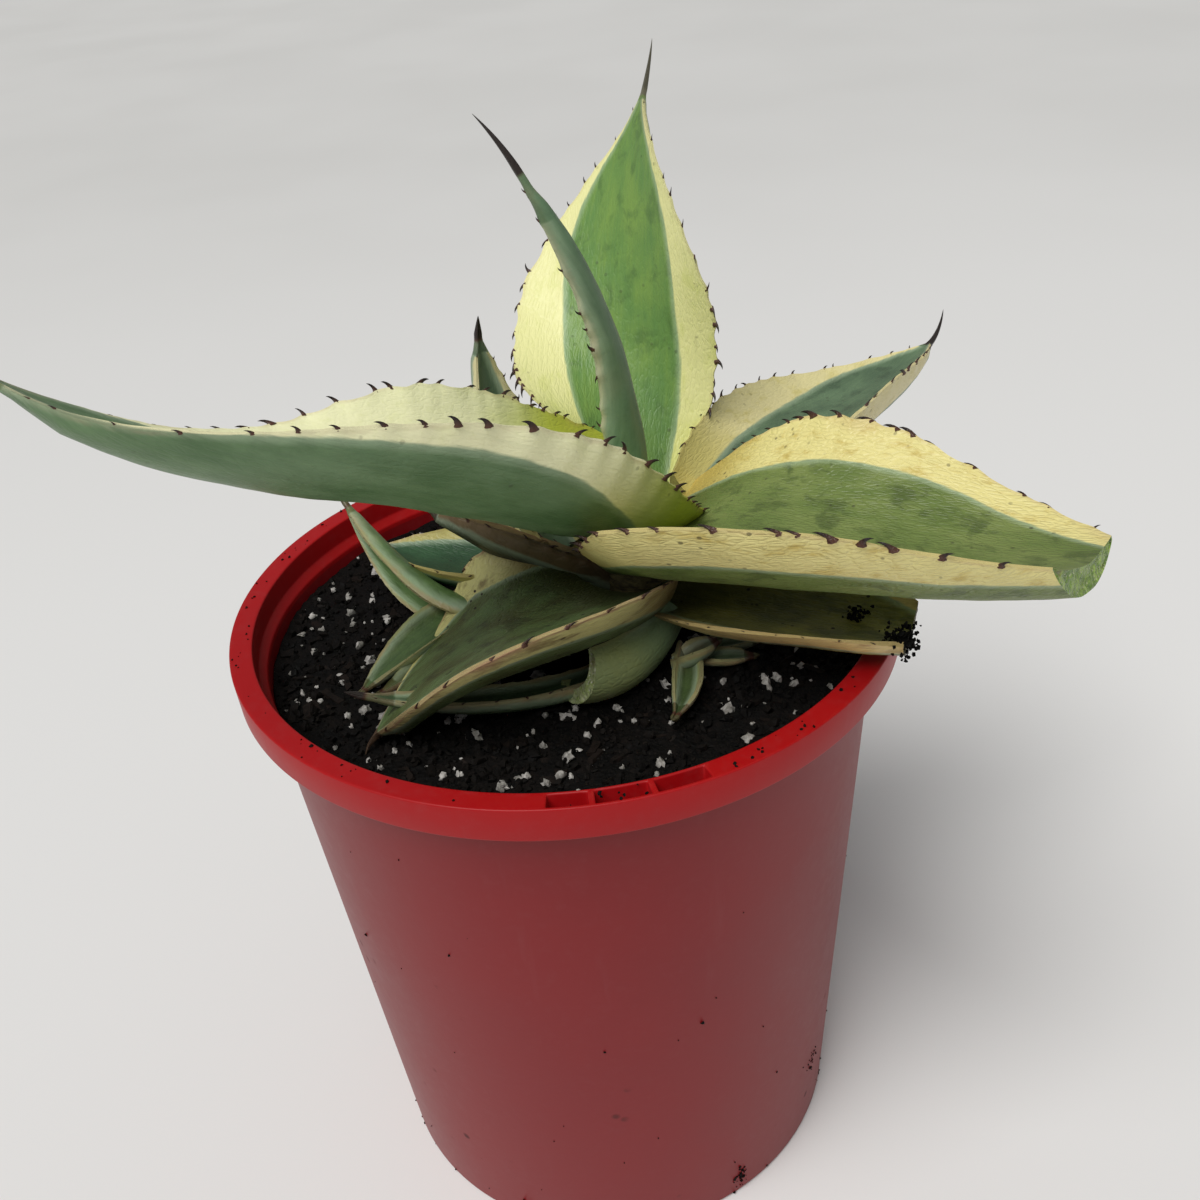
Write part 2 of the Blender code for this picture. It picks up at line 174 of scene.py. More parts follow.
# leaves: millimetres and degrees, lists from base to tip; left is the +across side
usualLeaf = dict(
    baseWidth=0.6, widest=0.45, taper=1.8, tip=1, cut=1.0, hook=(0, 0), nearBase=1.0,
    toothGap=(4, 5, 6), toothLean=(-20, 0, 20), wrinkle=0.3, dirt=0.4, blush=0.3, mottleAndBaseShade=0.35, paleEnd=0.0,
    cutTone="fresh", spineTone=(0.030, 0.022, 0.018), slot="leaf_green",
)
leafCentre = dict(
    usualLeaf, node="leaf_centre", name="leafCentre",
    base=(21.2, 0.6, 225.7), heading=(104, 219, 163), pitch=(99, 76, 62), roll=(-118, -127, -141),
    length=111, width=12, baseWidth=0.8, widest=0.4, taper=1.6,
    fold=(60, 39, 31), thick=(5, 4, 1.8), spine=16, hook=(0, -14),
    bandUpper=((0.1, 0.1, 0.0), (0.25, 0.2, 0.0)), bandLower=((-0.1, -0.1, -0.1), (0.1, 0.08, -0.1)),
    toothGap=(5, 11, 14), toothSize=(1.6, 2.0, 1.2), toothLean=(-30, 10, 40), seed=11,
    green=(0.145, 0.24, 0.125), deep=(0.09, 0.165, 0.085), band=(0.56, 0.60, 0.40),
    bandBase=(0.40, 0.45, 0.16), bloom=0.35, wrinkle=0.1, dirt=0.25, blush=0.15, slot="leaf_grey",
    mottleAndBaseShade=0.2,
)
leafUpright = dict(
    usualLeaf, node="leaf_upright", name="leafUpright",
    base=(22.5, 21.4, 223.8), heading=(96, 68, 53), pitch=(18, 67, 57), roll=(-50, 8, 40),
    length=132, width=66, widest=0.5, tip=1.2,
    fold=(39, 17, 7), thick=(9, 5, 2), spine=15, hook=(-10, 14),
    bandUpper=((0.55, 0.51, 0.42, 0.19, 0.1), (0.22, 0.3, 0.38, 0.22, 0.1)),
    bandLower=((0.4, 0.4, 0.38, 0.22, 0.15), (0.4, 0.38, 0.34, 0.14, 0.1)),
    toothGap=(5, 7, 12), toothSize=(2.0, 2.8, 2.4, 1.0), toothLean=(-35, -10, 35), seed=12,
    green=(0.2, 0.34, 0.07), deep=(0.13, 0.265, 0.07), band=(0.86, 0.84, 0.4), bandBase=(0.72, 0.74, 0.26),
    bloom=0.1, wrinkle=0.35, dirt=0.5, blush=0.12, spineTone=(0.16, 0.15, 0.10), mottleAndBaseShade=0.6,
)
leafLeftLarge = dict(
    usualLeaf, node="leaf_left_large", name="leafLeftLarge",
    base=(27.7, 11, 228.7), heading=(227, 223, 201, 190), pitch=(22, 30, 22, 45), roll=(20, 2, -20, -15),
    length=194, width=73, widest=0.35,
    fold=(44, 68, 35, 8), thick=(11, 8, 3), spine=17, hook=(0, 12),
    bandUpper=((0.6, 0.6, 0.5, 0.3, 0.1, -0.1), (0.6, 0.65, 0.6, 0.4, 0.1, -0.1)),
    bandLower=((0.75, 0.45, 0.31, 0.22, 0.15, 0.07, 0.0, -0.1, -0.1),
               (0.7, 0.5, 0.4, 0.25, 0.12, 0.0, -0.1, -0.1, -0.1)),
    toothGap=(4.5, 9, 11, 8), toothSize=(2.2, 3.6, 2.6, 0.8), toothLean=(-40, 15, 40), seed=13,
    green=(0.15, 0.25, 0.105), deep=(0.085, 0.165, 0.065), band=(0.98, 0.97, 0.6),
    bandBase=(0.5, 0.56, 0.05), bloom=0.25, wrinkle=0.25, blush=0.2, slot="leaf_grey", mottleAndBaseShade=0.1,
)
leafRightLarge = dict(
    usualLeaf, node="leaf_right_large", name="leafRightLarge",
    base=(16.3, 8.9, 214.2), heading=(-60, -32, -42), pitch=(34, 2, 27), roll=(0, 9, 25),
    length=180, width=100, widest=0.35,
    fold=(26, 48, -6), thick=(10, 8, 5), cut=0.81, spine=0,
    bandUpper=((0.3, 0.32, 0.27, 0.23, 0.3), (0.3, 0.32, 0.3, 0.26, 0.26)),
    bandLower=((0.25, 0.3, 0.3, 0.3, 0.25), (0.16, 0.26, 0.28, 0.29, 0.24)),
    toothGap=(5, 10, 16), toothSize=(2.2, 3.6, 3.2, 1.2), toothLean=(-35, -15, 20), seed=14,
    green=(0.2, 0.255, 0.07), deep=(0.13, 0.19, 0.045), band=(0.82, 0.73, 0.3), bandBase=(0.6, 0.46, 0.12),
    bloom=0.05, wrinkle=1.0, dirt=0.8, blush=0.2, slot="leaf_pale", nearBase=0.30, mottleAndBaseShade=0.85,
)
leafRightBack = dict(
    usualLeaf, node="leaf_right_back", name="leafRightBack",
    base=(46.8, 15.4, 217.9), heading=(44, 41, 46), pitch=(15, 0, 9), roll=(-18, 11, 22),
    length=129, width=56,
    fold=(61, 52, 41), thick=(8, 6, 2), spine=14, hook=(0, 70),
    bandUpper=((0.5, 0.5, 0.4, 0.2, 0.1), (0.3, 0.35, 0.3, 0.25, 0.15)),
    bandLower=((0.4, 0.4, 0.4, 0.3, 0.2), (0.4, 0.4, 0.4, 0.3, 0.2)),
    toothGap=(5, 9, 12), toothSize=(1.5, 2.6, 2.0), toothLean=(-30, 0, 30), seed=15,
    green=(0.13, 0.205, 0.11), deep=(0.085, 0.14, 0.08), band=(0.78, 0.7, 0.36),
    bandBase=(0.62, 0.54, 0.18), bloom=0.35, wrinkle=0.4, blush=0.05, mottleAndBaseShade=0.7,
)
leafBackSmall = dict(
    usualLeaf, node="leaf_back_small", name="leafBackSmall",
    base=(0.9, 19.9, 207.6), heading=(130, 130, 128), pitch=(40, 66, 98), roll=(0, -1, 0),
    length=74, width=24, widest=0.4, taper=1.5,
    fold=(60, 65, 70), thick=(5, 4, 1.5), spine=6,
    bandUpper=((0.3, 0.3, 0.2), (0.3, 0.3, 0.2)), bandLower=((0.3, 0.3, 0.2), (0.3, 0.3, 0.2)),
    toothGap=(5, 8, 10), toothSize=(1.2, 1.8, 1.2), toothLean=(-30, 0, 30), seed=16,
    green=(0.125, 0.190, 0.110), deep=(0.085, 0.140, 0.085), band=(0.66, 0.62, 0.34),
    bandBase=(0.5, 0.45, 0.16), bloom=0.3, wrinkle=0.2, dirt=0.3, blush=0.1, slot="leaf_grey",
)
leafLeftUnder = dict(
    usualLeaf, node="leaf_left_under", name="leafLeftUnder",
    base=(16.2, 4.9, 206.7), heading=(178, 172, 165), pitch=(16, 26, 31), roll=(-18, -26, -20),
    length=61, width=20,
    fold=(45, 47, 49), thick=(7, 5, 2), spine=4, hook=(0, 10),
    bandUpper=((0.4, 0.4, 0.3), (0.4, 0.4, 0.3)), bandLower=((0.3, 0.3, 0.25), (0.3, 0.3, 0.25)),
    toothGap=(5, 9, 12), toothSize=(1.4, 2.0, 1.4), toothLean=(-30, 0, 30), seed=17,
    green=(0.045, 0.05, 0.024), deep=(0.025, 0.028, 0.016), band=(0.17, 0.12, 0.055),
    bandBase=(0.1, 0.07, 0.035), bloom=0.0, wrinkle=0.4, dirt=0.8, blush=0.1,
)
leafFrontLeft = dict(
    usualLeaf, node="leaf_front_left", name="leafFrontLeft",
    base=(12.4, -9.4, 209.2), heading=(235, 202, 208), pitch=(22, -10, -39), roll=(1, -22, -30),
    length=86, width=84,
    fold=(50, 16, 0), thick=(10, 9, 5), spine=6, hook=(40, -20),
    bandUpper=((0.10, 0.10, 0.08, 0.06, 0.05), (0.32, 0.34, 0.20, 0.10, 0.07)),
    bandLower=((0.26, 0.22, 0.18, 0.14, 0.12), (0.3, 0.3, 0.2, 0.12, 0.1)),
    toothGap=(4, 8, 11), toothSize=(1.6, 2.8, 1.6), toothLean=(-35, -20, 10), seed=18,
    green=(0.125, 0.195, 0.06), deep=(0.078, 0.088, 0.026), band=(0.66, 0.62, 0.25),
    bandBase=(0.25, 0.19, 0.075), bloom=0.15, wrinkle=0.9, dirt=2.0, blush=0.6,
    spineTone=(0.10, 0.06, 0.035), mottleAndBaseShade=0.9,
)
leafRightLow = dict(
    usualLeaf, node="leaf_right_low", name="leafRightLow",
    base=(29.5, -8.5, 208.4), heading=(-49, -36, -19), pitch=(6, 3, -4), roll=(-13, 1, 5),
    length=94, width=50,
    fold=(37, 41, 40), thick=(4, 3.5, 2.5), cut=0.82, spine=0,
    bandUpper=((0.2, 0.22, 0.24, 0.24), (0.2, 0.22, 0.24, 0.24)),
    bandLower=((0.2, 0.22, 0.24, 0.24), (0.2, 0.22, 0.24, 0.24)),
    toothGap=(6, 9, 12), toothSize=(0.8, 1.0, 1.0), toothLean=(-30, 0, 0), seed=19,
    green=(0.26, 0.24, 0.055), deep=(0.11, 0.115, 0.035), band=(0.62, 0.48, 0.19),
    bandBase=(0.30, 0.20, 0.08), bloom=0.0, wrinkle=0.7, dirt=1.5, blush=0.1, slot="leaf_pale",
    mottleAndBaseShade=0.6, cutTone="dried",
)
leafLeftLow = dict(
    usualLeaf, node="leaf_left_low", name="leafLeftLow",
    base=(14.8, 7.8, 200.8), heading=(159, 159, 154), pitch=(-3, 4, 13), roll=(-17, -6, 0),
    length=79, width=45,
    fold=(45, 47, 51), thick=(5, 4, 2), spine=4, hook=(0, 10),
    bandUpper=((0.3, 0.3, 0.26, 0.2), (0.34, 0.34, 0.3, 0.2)),
    bandLower=((0.1, 0.1, 0.1, 0.1), (0.3, 0.3, 0.3, 0.2)),
    toothGap=(5, 9, 12), toothSize=(1.2, 1.6, 1.2), toothLean=(-30, 0, 30), seed=20,
    green=(0.04, 0.105, 0.045), deep=(0.022, 0.06, 0.028), band=(0.45, 0.4, 0.12),
    bandBase=(0.28, 0.2, 0.08), bloom=0.0, dirt=0.6, blush=0.2,
)
leafFrontStub = dict(
    usualLeaf, node="leaf_front_stub", name="leafFrontStub",
    base=(27.7, -19.8, 203.8), heading=(246, 217, 191), pitch=(-22, 6, 50), roll=(-60, -60, -60),
    length=55, width=24, baseWidth=0.9, taper=3, tip=0.8,
    fold=(75, 80, 80), thick=(5, 4, 3.5), cut=0.70, spine=0,
    bandUpper=((0.1, 0.1), (0.1, 0.1)), bandLower=((0.08, 0.08), (0.08, 0.08)),
    toothGap=(6, 9, 12), toothSize=(0.0, 0.0, 0.0), toothLean=(0, 0, 0), seed=21,
    green=(0.23, 0.33, 0.15), deep=(0.15, 0.23, 0.12), band=(0.40, 0.42, 0.26),
    bandBase=(0.30, 0.32, 0.16), bloom=0.35, wrinkle=0.5, blush=0.1, slot="leaf_grey", paleEnd=0.75,
    cutTone="torn",
)
leafFrontUnder = dict(
    usualLeaf, node="leaf_front_under", name="leafFrontUnder",
    base=(14.2, -31.9, 199.3), heading=(207, 191, 176), pitch=(-9, 9, 16), roll=(-7, -10, 4),
    length=76, width=11,
    fold=(38, 43, 48), thick=(4, 3, 1.2), spine=4,
    bandUpper=((0.2, 0.2, 0.15), (0.2, 0.2, 0.15)), bandLower=((0.1, 0.1, 0.05), (0.1, 0.1, 0.05)),
    toothGap=(5, 7, 9), toothSize=(0.9, 1.2, 0.8), seed=22,
    green=(0.09, 0.15, 0.065), deep=(0.05, 0.09, 0.04), band=(0.3, 0.32, 0.15),
    bandBase=(0.22, 0.22, 0.09), bloom=0.1, wrinkle=0.4, dirt=0.7,
)
pupLeftLeafUp = dict(
    usualLeaf, node="pup_left_leaf_up", name="pupLeftLeafUp",
    base=(-25.3, -3, 201.8), heading=(142, 130, 132), pitch=(-10, 18, 43), roll=(125, 103, 110),
    length=67, width=19,
    fold=(78, 67, 59), thick=(4, 3, 1.2), spine=3,
    bandUpper=((0.12, 0.1, 0.05), (0.12, 0.1, 0.05)), bandLower=((0.12, 0.1, 0.05), (0.12, 0.1, 0.05)),
    toothSize=(0.4, 0.5, 0.4), seed=31,
    green=(0.14, 0.25, 0.08), deep=(0.07, 0.13, 0.04), band=(0.3, 0.34, 0.14), bandBase=(0.34, 0.36, 0.14),
    bloom=0.05, spineTone=(0.11, 0.1, 0.045),
)
pupLeftLeafLow = dict(
    usualLeaf, node="pup_left_leaf_low", name="pupLeftLeafLow",
    base=(-20.7, 11.1, 200.5), heading=(217, 221, 219), pitch=(2, -9, -17), roll=(6, -1, -8),
    length=55, width=17,
    fold=(50, 51, 52), thick=(4, 3, 1.2), spine=3,
    bandUpper=((0.12, 0.1, 0.05), (0.12, 0.1, 0.05)), bandLower=((0.12, 0.1, 0.05), (0.12, 0.1, 0.05)),
    toothSize=(0.4, 0.5, 0.4), seed=32,
    green=(0.09, 0.15, 0.045), deep=(0.045, 0.08, 0.028), band=(0.3, 0.34, 0.14),
    bandBase=(0.34, 0.36, 0.14), bloom=0.05, spineTone=(0.11, 0.1, 0.045),
)
pupLeftLeafInner = dict(
    usualLeaf, node="pup_left_leaf_inner", name="pupLeftLeafInner",
    base=(-22.8, 3.1, 199.1), heading=(224, 226, 221), pitch=(-3, -6, 0), roll=(0, -1, 0),
    length=47, width=10,
    fold=(41, 41, 39), thick=(3, 2.5, 1), spine=3,
    bandUpper=((0.12, 0.1, 0.05), (0.12, 0.1, 0.05)), bandLower=((0.12, 0.1, 0.05), (0.12, 0.1, 0.05)),
    toothSize=(0.4, 0.5, 0.4), seed=33,
    green=(0.12, 0.14, 0.05), deep=(0.07, 0.085, 0.03), band=(0.3, 0.34, 0.14),
    bandBase=(0.34, 0.36, 0.14), bloom=0.05, spineTone=(0.11, 0.1, 0.045),
)
pupRightLeafDown = dict(
    usualLeaf, node="pup_right_leaf_down", name="pupRightLeafDown",
    base=(33.6, -25.9, 198), heading=(265, 258, 243), pitch=(-5, -1, 9), roll=(5, 3, 0),
    length=35, width=9,
    fold=(71, 72, 70), thick=(2.5, 2, 1), spine=2,
    bandUpper=((0.3, 0.25, 0.1), (0.2, 0.2, 0.1)), bandLower=((0.12, 0.1, 0.05), (0.12, 0.1, 0.05)),
    toothSize=(0.4, 0.5, 0.4), seed=34,
    green=(0.07, 0.11, 0.035), deep=(0.04, 0.065, 0.022), band=(0.3, 0.34, 0.14),
    bandBase=(0.16, 0.18, 0.07), bloom=0.05, spineTone=(0.11, 0.1, 0.045),
)
pupRightLeafFolded = dict(
    usualLeaf, node="pup_right_leaf_folded", name="pupRightLeafFolded",
    base=(28.1, -32.9, 197.1), heading=(-8, 7, 14), pitch=(7, 27, 17), roll=(17, 7, -14),
    length=15, width=10,
    fold=(72, 70, 67), thick=(2, 2, 1), spine=1.5,
    bandUpper=((0.3, 0.25, 0.15), (0.3, 0.25, 0.15)), bandLower=((0.25, 0.2, 0.15), (0.25, 0.2, 0.15)),
    toothSize=(0.4, 0.5, 0.4), seed=35,
    green=(0.060, 0.090, 0.045), deep=(0.035, 0.055, 0.030), band=(0.3, 0.34, 0.14),
    bandBase=(0.16, 0.18, 0.07), bloom=0.15, spineTone=(0.11, 0.1, 0.045),
)
pupRightLeafSide = dict(
    usualLeaf, node="pup_right_leaf_side", name="pupRightLeafSide",
    base=(37, -31.3, 196.4), heading=(-7, -7, -6), pitch=(1, 0, 2), roll=(3, 0, -3),
    length=15, width=7,
    fold=(50, 49, 49), thick=(2, 2, 1), spine=1.5,
    bandUpper=((0.3, 0.25, 0.15), (0.3, 0.25, 0.15)), bandLower=((0.25, 0.2, 0.15), (0.25, 0.2, 0.15)),
    toothSize=(0.4, 0.5, 0.4), seed=36,
    green=(0.070, 0.105, 0.045), deep=(0.040, 0.065, 0.030), band=(0.3, 0.34, 0.14),
    bandBase=(0.16, 0.18, 0.07), bloom=0.15, spineTone=(0.11, 0.1, 0.045),
)
pupRightLeafFar = dict(
    usualLeaf, node="pup_right_leaf_far", name="pupRightLeafFar",
    base=(34.5, -26.3, 196.4), heading=(3, 3, 5), pitch=(0, 1, 5), roll=(-6, 0, 6),
    length=22, width=7,
    fold=(49, 49, 50), thick=(2, 2, 1), spine=1.5,
    bandUpper=((0.3, 0.25, 0.15), (0.3, 0.25, 0.15)), bandLower=((0.25, 0.2, 0.15), (0.25, 0.2, 0.15)),
    toothSize=(0.4, 0.5, 0.4), seed=37,
    green=(0.060, 0.100, 0.040), deep=(0.035, 0.060, 0.030), band=(0.3, 0.34, 0.14),
    bandBase=(0.16, 0.18, 0.07), bloom=0.15, spineTone=(0.11, 0.1, 0.045),
)
allLeaves = (
    leafCentre, leafUpright, leafLeftLarge, leafRightLarge, leafRightBack, leafBackSmall,
    leafLeftUnder, leafFrontLeft, leafRightLow, leafLeftLow, leafFrontStub, leafFrontUnder,
    pupLeftLeafUp, pupLeftLeafLow, pupLeftLeafInner, pupRightLeafDown, pupRightLeafFolded,
    pupRightLeafSide, pupRightLeafFar,
)
leafLooks = dict(
    edgeThickness=0.7, spineRadius=0.8, rowGap=1.25, tipRows=12, columns=26, fewColumns=16, narrowLeaf=30,
    milky=(0.52, 0.64, 0.44), milkyWidth=2.6, milkyShare=0.45, bloomColour=(0.17, 0.27, 0.17),
    blushColour=(0.42, 0.20, 0.14), paleTone=(0.42, 0.47, 0.17), soilStain=(0.028, 0.020, 0.014),
    hornBase=(0.085, 0.034, 0.020), hornTip=(0.014, 0.009, 0.008), roughness=0.40,
    relief=0.55, reliefDepth=0.0005,
)
# how the patterns stretch: across, along, and between the two faces
leafGrain = dict(
    streaks=(0.75, 0.035, 1.0), mottle=(0.10, 0.045, 1.0), blotch=(0.16, 0.10, 1.0),
    aged=(0.20, 0.09, 1.0), smear=(0.35, 0.12, 1.0), creases=(0.85, 0.28, 1.0),
)


def along(values, place):
    # a smooth value at each place from 0 to 1, through evenly spaced ones
    v = np.asarray(values, dtype=float)
    p = np.concatenate([[2 * v[0] - v[1]], v, [2 * v[-1] - v[-2]]])
    s = np.clip(place, 0.0, 1.0) * (len(v) - 1)
    i = np.minimum(s.astype(int), len(v) - 2)
    f = s - i
    a, b, c, d = p[i], p[i + 1], p[i + 2], p[i + 3]
    rise = (c - a) * f + (2 * a - 5 * b + 4 * c - d) * f**2 + (3 * b - a - 3 * c + d) * f**3
    return 0.5 * (2 * b + rise)


def leafForm(leaf, place):
    # the midrib, its directions and the size of the section at each place
    share = leaf["spine"] / leaf["length"]
    fine = np.linspace(0.0, max(place[-1], 1e-3), 401)
    past = np.clip((fine - 1.0) / max(share, 1e-6), 0.0, 1.0)
    heading = np.radians(along(leaf["heading"], fine) + leaf["hook"][0] * past)
    pitch = np.radians(along(leaf["pitch"], fine) + leaf["hook"][1] * past)
    roll = np.radians(along(leaf["roll"], fine))
    level, climb = np.cos(pitch), np.sin(pitch)
    ahead = np.stack([level * np.cos(heading), level * np.sin(heading), climb], 1)
    above = np.stack([-climb * np.cos(heading), -climb * np.sin(heading), level], 1)
    beside = np.cross(above, ahead)
    up = np.cos(roll)[:, None] * above + np.sin(roll)[:, None] * beside
    side = np.cos(roll)[:, None] * beside - np.sin(roll)[:, None] * above
    middle = np.zeros((len(fine), 3))
    middle[1:] = np.cumsum((ahead[1:] + ahead[:-1]) / 2.0, 0) * leaf["length"] * (fine[1] - fine[0])
    middle += np.array(leaf["base"])
    curves = []
    for line in (middle, up, side, ahead):
        curves.append(np.stack([np.interp(place, fine, line[:, axis]) for axis in range(3)], 1))
    fold = np.radians(along(leaf["fold"], place))
    fold = np.where(np.abs(fold) < 0.02, 0.02, fold)
    opening = np.sin(np.pi / 2 * np.clip(place / leaf["widest"], 0, 1))
    swell = leaf["baseWidth"] + (1 - leaf["baseWidth"]) * opening
    far = np.clip((place - leaf["widest"]) / (1 - leaf["widest"]), 0, 1)
    narrow = np.clip(1 - far ** leaf["taper"], 0, 1) ** leaf["tip"]
    width = leaf["width"] * np.where(place < leaf["widest"], swell, narrow)
    beyond = np.clip((place - 1.0) / max(share, 1e-6), 0.0, 1.0)
    needle = 2 * leafLooks["spineRadius"] * (1.02 - beyond) ** 0.8 * (leaf["spine"] > 0)
    width = np.maximum(width, needle)
    slim = np.minimum(1.0, width / (leaf["width"] * 0.25))
    body = np.maximum(along(leaf["thick"], place) * slim, needle * 0.8)
    edge = leafLooks["edgeThickness"] * np.minimum(1.0, width / 6.0) + 0.1 * (1 - beyond)
    return dict(middle=curves[0], up=curves[1], side=curves[2], ahead=curves[3],
                fold=fold, width=width, body=body, edge=edge, beyond=beyond, slim=slim)


def onSection(form, row, tilt, half):
    # a point across the folded section, and the way straight out of its upper face
    up, side = form["up"][row], form["side"][row]
    out = math.cos(tilt) * up - math.sin(tilt) * side
    bent = math.sin(tilt) * side + (1 - math.cos(tilt)) * up
    return form["middle"][row] + half / form["fold"][row] * bent, out


hornForm = dict(
    segments=7, radius=0.30, flat=0.62, bend=74.0, narrowing=(0.62, 0.68, 0.70, 0.62, 0.12),
    tall=1.35, sunk=0.25,
)


def hornShape():
    # one tooth, 1 high, hooked towards +X, drawn out of a small disc
    bm = bmesh.new()
    layer = bm.verts.layers.float.new("horn")
    bmesh.ops.create_circle(bm, cap_ends=True, segments=hornForm["segments"], radius=hornForm["radius"])
    bmesh.ops.scale(bm, verts=bm.verts, vec=(1.0, hornForm["flat"], 1.0))
    face = bm.faces[:][0]
    heading = 0.0
    steps = len(hornForm["narrowing"])
    for index, size in enumerate(hornForm["narrowing"], 1):
        grown = bmesh.ops.extrude_face_region(bm, geom=[face])["geom"]
        bmesh.ops.delete(bm, geom=[face], context="FACES_ONLY")
        face = [item for item in grown if isinstance(item, bmesh.types.BMFace)][0]
        heading += math.radians(hornForm["bend"]) / steps
        centre = face.calc_center_median()
        bmesh.ops.scale(bm, verts=face.verts, vec=(size, size, size), space=Matrix.Translation(-centre))
        turn = Matrix.Rotation(math.radians(hornForm["bend"]) / steps, 3, "Y")
        bmesh.ops.rotate(bm, verts=face.verts, cent=centre, matrix=turn)
        move = Vector((math.sin(heading), 0.0, math.cos(heading))) / steps
        bmesh.ops.translate(bm, verts=face.verts, vec=move)
        for vert in face.verts:
            vert[layer] = index / steps
    bmesh.ops.recalc_face_normals(bm, faces=bm.faces)
    return meshFrom("horn", bm)


hornMesh = hornShape()
hornStages = [value.value for value in hornMesh.attributes["horn"].data]


def toothPlaces(leaf, dice):
    # where the teeth stand on each margin: side, place along, size and lean
    found = []
    for side in (1, -1):
        mm = 4.0 + 4.0 * dice.random()
        while mm < leaf["length"] * leaf["cut"] * 0.97:
            place = np.array([mm / leaf["length"]])
            size = float(along(leaf["toothSize"], place)[0]) * dice.uniform(0.7, 1.2)
            lean = float(along(leaf["toothLean"], place)[0]) + dice.uniform(-18, 18)
            found.append((side, mm, size, lean))
            mm += float(along(leaf["toothGap"], place)[0]) * dice.uniform(0.45, 1.35)
    return [tooth for tooth in found if tooth[2] > 0.15]


def cutFace(bm, layers, ahead):
    # the cut end gets its own finish and a rough face
    last = {vert for vert in bm.verts if vert[layers["lengthwise"]] > 0.9999}
    caps = [face for face in bm.faces if all(vert in last for vert in face.verts)]
    rungs = {e for face in caps for e in face.edges if len([f for f in e.link_faces if f in caps]) == 2}
    bmesh.ops.inset_region(bm, faces=caps, thickness=0.00035, use_even_offset=True)
    cross = [e for e in rungs if e.is_valid]
    parts = bmesh.ops.subdivide_edges(bm, edges=cross, cuts=7, use_grid_fill=True)["geom_inner"]
    for item in parts:
        if isinstance(item, bmesh.types.BMVert):
            bump = noise.noise(item.co * 900.0) * 0.0006 + noise.noise(item.co * 260.0) * 0.0012
            item.co += ahead * (bump - 0.0003)
    for face in bm.faces:
        if all(vert[layers["lengthwise"]] > 0.9999 for vert in face.verts):
            face.material_index = 1


def toothMatrix(form, row, tooth, mound, nearShare):
    side, mm, size, lean = tooth
    tilt = form["fold"][row] * side
    outward = math.cos(tilt) * form["side"][row] * side + (abs(math.sin(tilt)) + 0.45) * form["up"][row]
    outward = Vector(outward).normalized()
    ahead = Vector(form["ahead"][row])
    turn = math.radians(lean)
    rise = (outward * math.cos(turn) + ahead * math.sin(turn)).normalized()
    run = (ahead * math.cos(turn) - outward * math.sin(turn)) * (1 if lean > 0 else -1)
    if side < 0:
        tilt *= nearShare[row]
    half = form["width"][row] / 2 + mound[side][row] * form["slim"][row]
    root, out = onSection(form, row, tilt, half)
    root = Vector(root - out * form["edge"][row] * 0.5) - outward * hornForm["sunk"] * size
    tall = size * hornForm["tall"]
    axes = (run.normalized() * tall, run.cross(rise).normalized() * -tall, rise * tall)
    turned = Matrix(axes).transposed().to_4x4() @ Matrix.Scale(0.001, 4)
    return Matrix.Translation(root / 1000.0) @ turned


